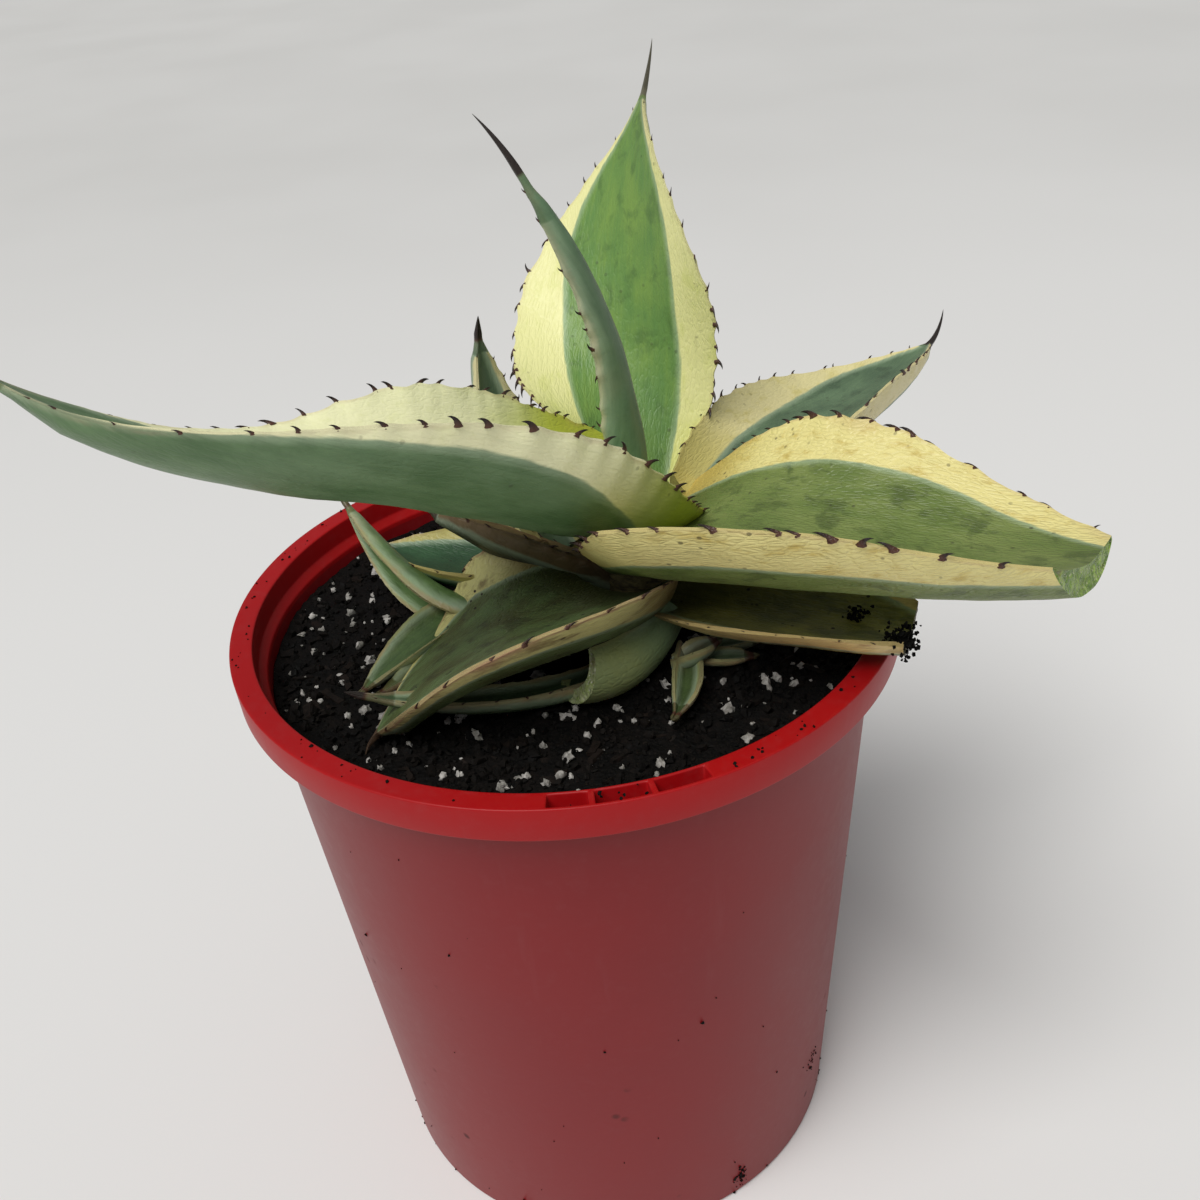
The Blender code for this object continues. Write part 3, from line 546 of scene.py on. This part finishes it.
def leafPiece(leaf, finish, flesh):
    dice = random.Random(leaf["seed"])
    looks, length, cut = leafLooks, leaf["length"], leaf["cut"]
    rowCount = max(24, round(length * cut / looks["rowGap"]))
    columnCount = looks["columns"] if leaf["width"] > looks["narrowLeaf"] else looks["fewColumns"]
    place = np.linspace(0.0, cut, rowCount + 1)
    if leaf["spine"] > 0:
        beyond = np.linspace(0, 1, looks["tipRows"] + 1)[1:]
        place = np.concatenate([place, 1.0 + leaf["spine"] / length * beyond])
    form = leafForm(leaf, place)
    teeth = toothPlaces(leaf, dice)
    mound = {1: np.zeros(len(place)), -1: np.zeros(len(place))}
    for side, mm, size, lean in teeth:
        mound[side] += 0.42 * size * np.exp(-(((place * length - mm) / (0.75 * size + 0.5)) ** 2))
    nearShare = 1 - (1 - leaf["nearBase"]) * np.clip(1 - place / 0.26, 0, 1)
    bm = bmesh.new()
    names = ("band", "margin", "lengthwise", "under", "horn")
    layers = {name: bm.verts.layers.float.new(name) for name in names}
    grainLayer = bm.verts.layers.float_vector.new("grain")
    bmesh.ops.create_grid(bm, x_segments=columnCount, y_segments=len(place) - 1, size=1.0)
    copied = bmesh.ops.extrude_face_region(bm, geom=bm.faces[:])["geom"]
    lowerVerts = {item for item in copied if isinstance(item, bmesh.types.BMVert)}
    bands = {}
    for under, key in ((0, "bandUpper"), (1, "bandLower")):
        for side, which in ((1, 0), (-1, 1)):
            bands[under, side] = along(leaf[key][which], place / max(cut, 1e-6))
    seedPlace = Vector((leaf["seed"] * 3.7, 0.0, 0.0))
    for vert in bm.verts:
        row = round((vert.co.y + 1.0) / 2.0 * (len(place) - 1))
        u = vert.co.x
        u = u * (1.25 - 0.25 * u * u)  # closer columns near the margins
        under = 1 if vert in lowerVerts else 0
        side = 1 if u >= 0 else -1
        reachShare = abs(u)
        width = form["width"][row]
        if side < 0:
            u *= nearShare[row]
        half = width / 2 + mound[side][row] * reachShare ** 6 * form["slim"][row]
        point, out = onSection(form, row, form["fold"][row] * u, half)
        depth = form["edge"][row] + form["body"][row] * (1 - reachShare ** 2.2)
        mm = place[row] * length
        wave = noise.noise(seedPlace + Vector((u * 1.6, mm * 0.045, under * 5.0)))
        ripple = noise.noise(seedPlace + Vector((u * 5.0, mm * 0.16, under * 9.0)))
        lift = (0.55 * wave + 0.14 * ripple) * form["slim"][row] * (1 - form["beyond"][row])
        point = point + out * lift - out * depth * under
        vert.co = Vector(point) / 1000.0
        reach = (1 - reachShare) * width / 2
        vert[layers["band"]] = bands[under, side][row] * width / 2 - reach if width > 4 else -4.0
        vert[layers["margin"]] = reach
        vert[layers["lengthwise"]] = min(place[row] / max(cut, 1e-6), 1.0)
        vert[layers["under"]] = under
        spined = min(max((mm - length + 3.5) / 6.0, 0.0), 1.0)
        vert[layers["horn"]] = spined if leaf["spine"] > 0 else 0.0
        vert[grainLayer] = Vector((u * width / 2, mm, under * 60.0 + leaf["seed"] * 7.0))
    if cut < 1.0:
        cutFace(bm, layers, Vector(form["ahead"][-1]))
    smoothed(bm, 50.0)
    grown = len(bm.verts)
    for tooth in teeth:
        row = int(np.argmin(np.abs(place * length - tooth[1])))
        matrix = toothMatrix(form, row, tooth, mound, nearShare)
        horn = hornMesh.copy()
        horn.transform(matrix)
        if matrix.determinant() < 0:
            horn.flip_normals()
        bm.from_mesh(horn)
        bpy.data.meshes.remove(horn)
    bm.verts.ensure_lookup_table()
    for index, stage in enumerate(hornStages * len(teeth)):
        vert = bm.verts[grown + index]
        vert[layers["horn"]] = 0.35 + 0.65 * stage
        vert[layers["margin"]] = 2.0
        vert[layers["lengthwise"]] = 0.5
        vert[layers["band"]] = 2.0
        vert[grainLayer] = vert.co * 1000.0
    for face in bm.faces:
        face.smooth = True
    return addPiece(leaf["name"], bm, (finish, flesh), (leaf["node"],))


def leafFinish(leaf):
    looks, stretch = leafLooks, leafGrain
    f = Finish(leaf["name"] + "Skin", Specular_IOR_Level=0.42, Coat_Weight=0.0)
    grain = f.painted("grain", 1)
    band, margin = f.painted("band"), f.painted("margin")
    lengthwise, under, horn = f.painted("lengthwise"), f.painted("under"), f.painted("horn")
    streaks = f.cloud(f.stretched(grain, stretch["streaks"]), 1.0, 5.0, 0.6)
    mottle = f.cloud(f.stretched(grain, stretch["mottle"]), 1.0, 4.0, 0.55)
    fine = f.cloud(grain, 0.9, 6.0, 0.65)
    border = band + (streaks - 0.5) * 1.8 + (mottle - 0.5) * 1.6
    inBand = f.step(border, -0.45, 0.45)
    nearBand = f.step(border, -looks["milkyWidth"], 0.0)
    # painted shade: towards the leaf base the green is darkened and the band turns a darker ochre; the
    # ochre is partly the band's own colour
    baseShadeAndTint = 1 - f.step(lengthwise + (mottle - 0.5) * 0.10, 0.10, 0.32)
    greenTone = f.mix(f.step(mottle + (streaks - 0.5) * 0.4, 0.28, 0.72), leaf["deep"], leaf["green"])
    blotch = f.step(f.cloud(f.stretched(grain, stretch["blotch"]), 1.0, 6.0, 0.62, 0.4), 0.50, 0.66)
    greenTone = f.mix(blotch * leaf["mottleAndBaseShade"], greenTone, tuple(0.62 * part for part in leaf["deep"]))
    # painted shade at the leaf base, scaled by the same amount as the mottling
    greenTone = f.mix(baseShadeAndTint * leaf["mottleAndBaseShade"], greenTone, tuple(0.75 * part for part in leaf["deep"]))
    greenTone = f.mix(nearBand * looks["milkyShare"], greenTone, looks["milky"])
    bandTone = f.mix(baseShadeAndTint, leaf["band"], leaf["bandBase"])
    bandTone = f.mix(f.step(streaks, 0.55, 0.8) * 0.15, bandTone, leaf["green"])
    bandTone = f.mix(f.step(fine, 0.5, 0.75) * 0.15, bandTone, leaf["bandBase"])
    aged = f.step(f.cloud(f.stretched(grain, stretch["aged"]), 1.0, 5.0, 0.65), 0.50, 0.68)
    bandTone = f.mix(aged * leaf["mottleAndBaseShade"], bandTone, leaf["bandBase"])
    tone = f.mix(inBand, greenTone, bandTone)
    tone = f.mix(f.step(lengthwise, 0.25, 0.75) * leaf["paleEnd"], tone, looks["paleTone"])
    hazy = f.step(mottle + (fine - 0.5) * 0.4, 0.3, 0.75) * leaf["bloom"]
    tone = f.mix(hazy * (0.55 + under * 0.45) * (1 - inBand), tone, looks["bloomColour"])
    rim = 1 - f.step(margin + (fine - 0.5) * 1.2, 0.25, 1.3)
    tone = f.mix(rim * f.step(mottle, 0.4, 0.6, 0.2, 1.2) * leaf["blush"], tone, looks["blushColour"])
    flush = f.step(f.cloud(grain, 0.035, 3.0), 0.55, 0.75) * (1 - f.step(margin, 1.0, 6.0))
    tone = f.mix(flush * leaf["blush"], tone, looks["blushColour"])
    smear = f.step(f.cloud(f.stretched(grain, stretch["smear"]), 1.0, 8.0, 0.72, 0.6), 0.60, 0.72)
    grit = 1 - f.step(f.cells(grain, 0.22), 0.07, 0.16)
    soiled = (smear * 0.55 + grit * 0.8) * leaf["dirt"] * f.step(f.cloud(grain, 0.06, 3.0), 0.42, 0.62)
    tone = f.mix(soiled, tone, looks["soilStain"])
    spined = f.step(lengthwise, 0.97, 0.99)
    foot = f.mix(spined, looks["hornBase"], leaf["spineTone"])
    point = f.mix(spined * 0.6, looks["hornTip"], leaf["spineTone"])
    hornTone = f.mix(f.step(horn, 0.35, 0.8), foot, point)
    isHorn = f.step(horn, 0.12, 0.34)
    tone = f.mix(isHorn, tone, hornTone)
    shine = looks["roughness"] + (fine - 0.5) * 0.22 + hazy * 0.2 + soiled * 0.3
    creases = f.cells(f.stretched(grain, stretch["creases"]), 1.0, "DISTANCE_TO_EDGE")
    creased = f.step(creases, 0.0, 0.22) * leaf["wrinkle"]
    height = streaks * 0.5 + fine * 0.30 + creased * 0.65 + soiled * 0.5
    relief = f.bump(height, looks["relief"], looks["reliefDepth"])
    return f.feed(Base_Color=tone, Roughness=shine, Normal=relief)


# pulp, ripe pulp, fibre ends and bruises
cutTones = dict(
    fresh=((0.13, 0.24, 0.03), (0.36, 0.50, 0.12), (0.50, 0.55, 0.30), (0.20, 0.14, 0.05)),
    torn=((0.34, 0.42, 0.15), (0.50, 0.55, 0.30), (0.66, 0.66, 0.52), (0.30, 0.26, 0.12)),
    dried=((0.05, 0.04, 0.02), (0.20, 0.17, 0.06), (0.28, 0.24, 0.12), (0.012, 0.010, 0.008)),
)


def fleshFinish(name, tones):
    # the inside of a cut leaf: pulp, fibre ends and bruised patches
    f = Finish(name, Specular_IOR_Level=0.5)
    here = f.here()
    pulp = f.cloud(here, 420.0, 6.0, 0.6)
    fibre = f.cells(here, 900.0)
    tone = f.mix(f.step(pulp, 0.35, 0.65), tones[0], tones[1])
    tone = f.mix(1 - f.step(fibre, 0.12, 0.35), tone, tones[2])
    tone = f.mix(f.step(f.cloud(here, 160.0, 4.0), 0.58, 0.7) * 0.6, tone, tones[3])
    shine = f.step(pulp, 0.3, 0.7, 0.16, 0.42)
    return f.feed(Base_Color=tone, Roughness=shine, Normal=f.bump(pulp + fibre, 0.8, 0.0006))


flesh = {name: fleshFinish(name + "Cut", tones) for name, tones in cutTones.items()}
for leaf in allLeaves:
    leafPiece(leaf, leafFinish(leaf), flesh[leaf["cutTone"]])
print("leaves made:", len(allLeaves))


# the pot, metres; the slot angles are degrees around it
potShell = dict(
    height=0.2056, rim=0.1000, opening=0.0933, band=0.0104, base=0.0775, wallTop=0.0929, wall=0.0016,
    floor=0.0024, channel=(0.0946, 0.0983), channelTop=0.2036, channelArc=(-62.0, 242.0),
    slot=(0.0943, 0.0988), slotDepth=0.0075, pockets=((-96.4, -89.6), (-88.6, -80.6), (-79.6, -72.2)),
    holes=8, holeRadius=0.0050, holeRing=0.0560, holeStart=8.0, roundness=0.0005, segments=360,
    shoulderRise=0.0014, foot=0.0010, body=(0.215, 0.0045, 0.0070), worn=(0.250, 0.010, 0.012),
    # the rim's brighter red is painted light, standing in for the light falling on the rim
    rimLitTone=(0.38, 0.004, 0.006), dust=(0.29, 0.095, 0.098), stain=(0.020, 0.014, 0.012), gloss=0.36,
)


def wallOutside(height):
    pot = potShell
    return pot["base"] + (pot["wallTop"] - pot["base"]) * height / pot["height"]


def angleIn(face, low, high):
    centre = face.calc_center_median()
    angle = math.degrees(math.atan2(centre.y, centre.x))
    return any(low < angle + turn < high for turn in (-360.0, 0.0, 360.0))


def pushFaces(bm, faces, move):
    grown = bmesh.ops.extrude_face_region(bm, geom=faces)["geom"]
    bmesh.ops.delete(bm, geom=faces, context="FACES_ONLY")
    verts = [item for item in grown if isinstance(item, bmesh.types.BMVert)]
    bmesh.ops.translate(bm, verts=verts, vec=(0.0, 0.0, move))


def buildPot():
    pot = potShell
    top, under = pot["height"], pot["height"] - pot["band"]
    shoulder = under + pot["shoulderRise"]
    insideLow = wallOutside(pot["floor"]) - pot["wall"]
    profile = [
        (0.0, 0.0), (0.030, 0.0), (pot["base"] - pot["foot"], 0.0), (pot["base"], pot["foot"]),
        (wallOutside(under), under), (pot["channel"][0], under), (pot["channel"][1], under),
        (pot["rim"] - 0.0004, under), (pot["rim"], top), (pot["slot"][1], top), (pot["slot"][0], top),
        (pot["opening"], top), (pot["opening"] - 0.0003, shoulder + 0.0022),
        (wallOutside(shoulder) - pot["wall"], shoulder), (insideLow, pot["floor"]), (0.0, pot["floor"]),
    ]
    bm = spun(profile, pot["segments"])
    bmesh.ops.recalc_face_normals(bm, faces=bm.faces)

    def ringFaces(inner, outer, height):
        found = []
        for face in bm.faces:
            centre = face.calc_center_median()
            if abs(centre.z - height) < 0.0001 and inner < centre.xy.length < outer:
                found.append(face)
        return found

    channel = [f for f in ringFaces(*pot["channel"], under) if angleIn(f, *pot["channelArc"])]
    pushFaces(bm, channel, pot["channelTop"] - under)
    for low, high in pot["pockets"]:
        pocket = [f for f in ringFaces(*pot["slot"], top) if angleIn(f, low, high)]
        pushFaces(bm, pocket, -pot["slotDepth"])
    bmesh.ops.recalc_face_normals(bm, faces=bm.faces)
    sharp = [edge for edge in bm.edges if edge.calc_face_angle(0.0) > math.radians(28)]
    bmesh.ops.bevel(bm, geom=sharp, offset=pot["roundness"], segments=3, profile=0.5, affect="EDGES",
                    clamp_overlap=True, material=-1)
    return smoothed(bm, 50.0)


def potFinish():
    pot = potShell
    f = Finish("potPlastic", Specular_IOR_Level=0.24, Coat_Weight=0.0)
    here = f.here()
    cloud = f.cloud(here, 14.0, 5.0, 0.6)
    fine = f.cloud(here, 260.0, 6.0, 0.65)
    grazed = f.cloud(f.stretched(here, (120.0, 120.0, 9.0)), 1.0, 4.0, 0.6)
    tone = f.mix(f.step(cloud, 0.35, 0.7) * 0.5, pot["body"], pot["worn"])
    height = f.node("ShaderNodeSeparateXYZ", None, {0: here}, 2)
    # painted light: above the rim's underside the plastic gets a brighter red than the wall, standing in
    # for the light on the rim
    onRim = f.step(height, pot["height"] - pot["band"] - 0.0004, pot["height"] - pot["band"] + 0.0004)
    tone = f.mix(onRim * f.step(cloud, 0.2, 0.6, 0.8, 1.0), tone, pot["rimLitTone"])
    tone = f.mix(f.step(grazed, 0.60, 0.78) * 0.10, tone, pot["dust"])
    tone = f.mix(f.step(fine, 0.45, 0.8) * 0.10, tone, pot["dust"])
    low = 1 - f.step(height, 0.0, 0.06)
    specks = 1 - f.step(f.cells(here, 95.0), 0.06, 0.17)
    patches = f.step(f.cloud(here, 24.0, 5.0, 0.6), 0.56, 0.66)
    marks = specks * patches * (0.55 + low * 0.4)
    tone = f.mix(marks, tone, pot["stain"])
    shine = pot["gloss"] + (cloud - 0.5) * 0.15 + fine * 0.12 + marks * 0.3
    relief = fine * 0.25 + grazed * 0.25 + marks * 0.6
    return f.feed(Base_Color=tone, Roughness=shine, Normal=f.bump(relief, 0.22, 0.0004))


potPiece = addPiece("potShell", buildPot(), (potFinish(),), ("pot",))


def cutHoles(piece):
    # the drainage holes, taken out of the floor
    pot = potShell
    bm = bmesh.new()
    for index in range(pot["holes"]):
        angle = math.radians(pot["holeStart"] + 360.0 * index / pot["holes"])
        place = Matrix.Translation(around(pot["holeRing"], angle, 0.0))
        bmesh.ops.create_cone(bm, cap_ends=True, segments=32, radius1=pot["holeRadius"],
                              radius2=pot["holeRadius"], depth=0.012, matrix=place)
    tool = bpy.data.objects.new("holes", meshFrom("holes", bm))
    bpy.context.scene.collection.objects.link(tool)
    step = piece.modifiers.new("holes", "BOOLEAN")
    step.operation, step.solver, step.object = "DIFFERENCE", "EXACT", tool
    graph = bpy.context.evaluated_depsgraph_get()
    graph.update()
    done = bpy.data.meshes.new_from_object(piece.evaluated_get(graph))
    piece.modifiers.clear()
    piece.data = done
    bpy.data.objects.remove(tool)


cutHoles(potPiece)
print("pot made:", len(potPiece.data.polygons), "faces")


soilBed = dict(
    level=0.1918, rough=0.0016, lumps=0.0012, gap=0.0003, bottom=0.0028, rings=74, segments=220,
    dark=(0.0016, 0.0014, 0.0012), brown=(0.007, 0.005, 0.004), gritTone=(0.03, 0.022, 0.016), damp=0.62,
)
mixBits = dict(
    seed=5, crumbs=5200, crumbSize=(0.35, 1.7), crumbDark=(0.0015, 0.0013, 0.0011),
    crumbTone=(0.006, 0.0045, 0.0035),
    bark=420, barkSize=(0.9, 3.4), barkDark=(0.003, 0.0025, 0.002), barkTone=(0.012, 0.008, 0.006),
    perlite=460, perliteSize=(0.45, 1.9), perliteDark=(0.20, 0.19, 0.17), perliteTone=(0.52, 0.50, 0.47),
)


def soilHeight(x, y):
    p = Vector((x, y, 0.3))
    rise = noise.fractal(p * 55.0, 0.9, 2.1, 4) * soilBed["lumps"]
    return soilBed["level"] + rise + noise.noise(p * 420.0) * soilBed["rough"] * 0.5


def insideRadius(height):
    return wallOutside(height) - potShell["wall"] - soilBed["gap"]


def buildSoil():
    soil = soilBed
    edge = insideRadius(soil["level"])
    low = insideRadius(soil["bottom"]) - 0.001
    profile = [(0.0, soil["bottom"]), (low, soil["bottom"]), (edge - 0.0002, soil["level"] - 0.0030)]
    profile += [(edge * step / soil["rings"], soil["level"]) for step in range(soil["rings"], -1, -1)]
    bm = spun(profile, soil["segments"])
    for vert in bm.verts:
        if vert.co.z > soil["level"] - 0.0001:
            vert.co.z = soilHeight(vert.co.x, vert.co.y)
    return smoothed(bm, 80.0)


def soilFinish():
    f = Finish("pottingMix", Specular_IOR_Level=0.14)
    here = f.here()
    clump = f.cloud(here, 190.0, 8.0, 0.7)
    grit = f.cells(here, 800.0)
    tone = f.mix(f.step(clump, 0.42, 0.7), soilBed["dark"], soilBed["brown"])
    tone = f.mix((1 - f.step(grit, 0.05, 0.25)) * 0.25, tone, soilBed["gritTone"])
    return f.feed(Base_Color=tone, Roughness=f.step(clump, 0.3, 0.7, soilBed["damp"], 0.95),
                  Normal=f.bump(clump + grit * 0.4, 1.0, 0.0012))


def shapeMesh(kind, jitter):
    bm = bmesh.new()
    if kind == "chip":
        bmesh.ops.create_cube(bm, size=2.0)
        bmesh.ops.scale(bm, verts=bm.verts, vec=(1.0, 0.42, 0.20))
        ends = [e for e in bm.edges if abs(e.verts[0].co.x - e.verts[1].co.x) > 1.0]
        bmesh.ops.subdivide_edges(bm, edges=ends, cuts=2)
    else:
        bmesh.ops.create_icosphere(bm, subdivisions=2 if kind == "round" else 1, radius=1.0)
    offset = Vector((dice.uniform(-50, 50), dice.uniform(-50, 50), 0.0))
    for vert in bm.verts:
        vert.co *= 1.0 + jitter * noise.noise(vert.co * 1.7 + offset)
        vert.co += Vector([dice.uniform(-0.5, 0.5) * jitter * 0.25 for axis in range(3)])
    return meshFrom(kind, bm)


def scatter(kind, count, sizes, sink, jitter, lean):
    # bits strewn over the mix, sizes in millimetres
    shapes = [shapeMesh(kind, jitter) for index in range(9)]
    bm = bmesh.new()
    edge = insideRadius(soilBed["level"])
    made = 0
    while made < count:
        size = sizes[0] + (sizes[1] - sizes[0]) * dice.random() ** 2.2
        radius = edge * math.sqrt(dice.random())
        if radius + size * 0.001 > edge - 0.0004:
            continue
        angle = dice.uniform(0, 2 * math.pi)
        x, y = radius * math.cos(angle), radius * math.sin(angle)
        z = soilHeight(x, y) + size * 0.001 * sink
        turn = Matrix.Rotation(dice.uniform(0, 2 * math.pi), 4, "Z")
        turn = turn @ Matrix.Rotation(dice.uniform(-lean, lean), 4, "X")
        turn = turn @ Matrix.Rotation(dice.uniform(-lean, lean) * 0.6, 4, "Y")
        size *= 0.001
        sides = (dice.uniform(0.7, 1.25), dice.uniform(0.7, 1.1), dice.uniform(0.6, 1.0), 1.0)
        stretch = Matrix.Diagonal(sides)
        bit = shapes[made % len(shapes)].copy()
        bit.transform(Matrix.Translation((x, y, z)) @ turn @ Matrix.Scale(size, 4) @ stretch)
        bm.from_mesh(bit)
        bpy.data.meshes.remove(bit)
        made += 1
    return bm


def bitFinish(name, one, two, scale, rough, relief):
    f = Finish(name, Specular_IOR_Level=0.14)
    here = f.here()
    cloud = f.cloud(here, scale, 6.0, 0.65)
    wide = f.cloud(here, 70.0, 2.0)
    tone = f.mix(f.step(cloud * 0.5 + wide * 0.5, 0.4, 0.6), one, two)
    shine = f.step(cloud, 0.3, 0.7, rough, 0.95)
    return f.feed(Base_Color=tone, Roughness=shine, Normal=f.bump(cloud, 0.8, relief))


addPiece("soilBed", buildSoil(), (soilFinish(),), ("soil",))
dice = random.Random(mixBits["seed"])
crumbTone = bitFinish("crumbs", mixBits["crumbDark"], mixBits["crumbTone"], 500.0, 0.6, 0.0006)
barkTone = bitFinish("bark", mixBits["barkDark"], mixBits["barkTone"], 420.0, 0.55, 0.0006)
perliteTone = bitFinish("perlite", mixBits["perliteDark"], mixBits["perliteTone"], 600.0, 0.7, 0.0005)
crumbs = scatter("crumb", mixBits["crumbs"], mixBits["crumbSize"], sink=0.25, jitter=0.8, lean=3.0)
addPiece("soilCrumbs", smoothed(crumbs, 30.0), (crumbTone,))
chips = scatter("chip", mixBits["bark"], mixBits["barkSize"], sink=0.10, jitter=0.5, lean=0.5)
addPiece("barkChips", smoothed(chips, 30.0), (barkTone,))
perlite = scatter("round", mixBits["perlite"], mixBits["perliteSize"], sink=0.35, jitter=0.9, lean=3.0)
addPiece("perliteBits", smoothed(perlite, 60.0), (perliteTone,))


# clods: place, spread and count; smudges on the wall: angle, height in mm and count
dirtSpots = dict(
    clods=((0.0865, -0.0600, 0.2150, 5.0, 190), (0.0850, -0.0640, 0.2175, 3.5, 110),
           (0.0778, -0.0440, 0.2135, 3.5, 80)),
    smudges=((-62.0, 9.0, 46), (-34.0, 34.0, 34), (-118.0, 7.0, 22), (150.0, 12.0, 26)),
    rimSpecks=110, speckSize=(0.25, 0.9), wallSpecks=120, wallHeight=198.0,
)


def buildClods():
    shapes = [shapeMesh("crumb", 0.8) for index in range(5)]
    bm = bmesh.new()
    spots = []
    for x, y, z, spread, count in dirtSpots["clods"]:
        for index in range(count):
            away = Vector([dice.gauss(0, 1) * spread * 0.0004 for axis in range(3)])
            spots.append((Vector((x, y, z)) + away, dice.uniform(0.2, 0.7)))
    for index in range(dirtSpots["rimSpecks"]):
        angle = dice.uniform(0, 2 * math.pi)
        radius = dice.uniform(potShell["opening"] + 0.001, potShell["rim"] - 0.0008)
        size = dice.uniform(*dirtSpots["speckSize"]) * 0.7
        spots.append((around(radius, angle, potShell["height"]), size))
    stuck = []
    for index in range(dirtSpots["wallSpecks"]):
        stuck.append((dice.uniform(0, 360), dirtSpots["wallHeight"] * dice.random() ** 2.4 + 1.0))
    for angle, height, count in dirtSpots["smudges"]:
        for index in range(count):
            stuck.append((angle + dice.gauss(0, 1.5), max(1.0, height + dice.gauss(0, 2.6))))
    for angle, height in stuck:
        height *= 0.001
        place = around(wallOutside(height), math.radians(angle), height)
        spots.append((place, 0.18 + 0.5 * dice.random() ** 2.5))
    for index, (place, size) in enumerate(spots):
        angle = dice.uniform(0, 6.28)
        turn = Matrix.Rotation(angle, 4, Vector((dice.random(), dice.random(), 1.0)).normalized())
        bit = shapes[index % len(shapes)].copy()
        bit.transform(Matrix.Translation(place) @ turn @ Matrix.Scale(size * 0.001, 4))
        bm.from_mesh(bit)
        bpy.data.meshes.remove(bit)
    return smoothed(bm, 30.0)


addPiece("dirtClods", buildClods(), (crumbTone,))
print("soil made")


stemCore = dict(
    dark=(0.045, 0.032, 0.018), pale=(0.20, 0.17, 0.07), nodes=("stem", "pup_left_stem", "pup_right_stem"),
)


def coreFinish():
    f = Finish("plantCore", Specular_IOR_Level=0.3)
    here = f.here()
    bark = f.cloud(f.stretched(here, (1.0, 1.0, 2.6)), 240.0, 6.0, 0.65)
    tone = f.mix(f.step(bark, 0.35, 0.65), stemCore["dark"], stemCore["pale"])
    shine = f.step(bark, 0.3, 0.7, 0.5, 0.85)
    return f.feed(Base_Color=tone, Roughness=shine, Normal=f.bump(bark, 0.9, 0.0010))


core = coreFinish()
for name in stemCore["nodes"]:
    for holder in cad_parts[name].material_slots:
        holder.material = core
print("stems finished")


studio = dict(
    eye=(0.0, -0.3396, 0.4136), turn=0.030768, down=0.561189, lean=-0.097259, lens=39.56,
    floorTone=(0.80, 0.795, 0.785), farShadeTone=(0.66, 0.655, 0.64), markTone=(0.70, 0.70, 0.70),
    sky=(0.96, 0.98, 1.0), skyStrength=0.24,
    sun=(-0.30, -0.42, 0.88), sunStrength=2.6, sunSpread=38.0, sunTone=(1.0, 0.99, 0.97),
)


def buildCamera():
    turn, down, lean = studio["turn"], studio["down"], studio["lean"]
    ahead = Vector((math.sin(turn) * math.cos(down), math.cos(turn) * math.cos(down), -math.sin(down)))
    level = Vector((math.cos(turn), -math.sin(turn), 0.0))
    upright = level.cross(ahead)
    right = math.cos(lean) * level + math.sin(lean) * upright
    top = math.cos(lean) * upright - math.sin(lean) * level
    camera = bpy.data.objects.new("camera", bpy.data.cameras.new("camera"))
    facing = Matrix((right, top, -ahead)).transposed().to_4x4()
    camera.matrix_world = Matrix.Translation(studio["eye"]) @ facing
    camera.data.lens = studio["lens"]
    camera.data.sensor_width = 36.0
    camera.data.clip_start = 0.01
    bpy.context.scene.collection.objects.link(camera)
    bpy.context.scene.camera = camera


def buildStudio():
    bm = bmesh.new()
    bmesh.ops.create_grid(bm, x_segments=2, y_segments=2, size=6.0)
    mesh = meshFrom("floor", bm)
    floor = bpy.data.objects.new("floor", mesh)
    bpy.context.scene.collection.objects.link(floor)
    f = Finish("floorPaint", Specular_IOR_Level=0.3)
    cloud = f.cloud(f.here(), 3.0, 4.0)
    depth = f.node("ShaderNodeSeparateXYZ", None, {0: f.here()}, 1)
    # painted shade: the floor darkens with distance from the camera, standing in for the light falling off
    tone = f.mix(f.step(depth, 0.1, 1.6), studio["floorTone"], studio["farShadeTone"])
    tone = f.mix(f.step(cloud, 0.3, 0.7) * 0.15, tone, studio["markTone"])
    mesh.materials.append(f.feed(Base_Color=tone, Roughness=f.step(cloud, 0.3, 0.7, 0.55, 0.7)))
    world = bpy.data.worlds.new("room")
    world.use_nodes = True
    background = world.node_tree.nodes["Background"]
    background.inputs[0].default_value = (*studio["sky"], 1.0)
    background.inputs[1].default_value = studio["skyStrength"]
    bpy.context.scene.world = world
    light = bpy.data.lights.new("softbox", "SUN")
    light.energy, light.color = studio["sunStrength"], studio["sunTone"]
    light.angle = math.radians(studio["sunSpread"])
    lamp = bpy.data.objects.new("softbox", light)
    lamp.matrix_world = Vector(studio["sun"]).to_track_quat("Z", "Y").to_matrix().to_4x4()
    bpy.context.scene.collection.objects.link(lamp)
    bpy.context.scene.view_settings.view_transform = "Standard"


buildCamera()
buildStudio()
print("camera, floor and lights set")
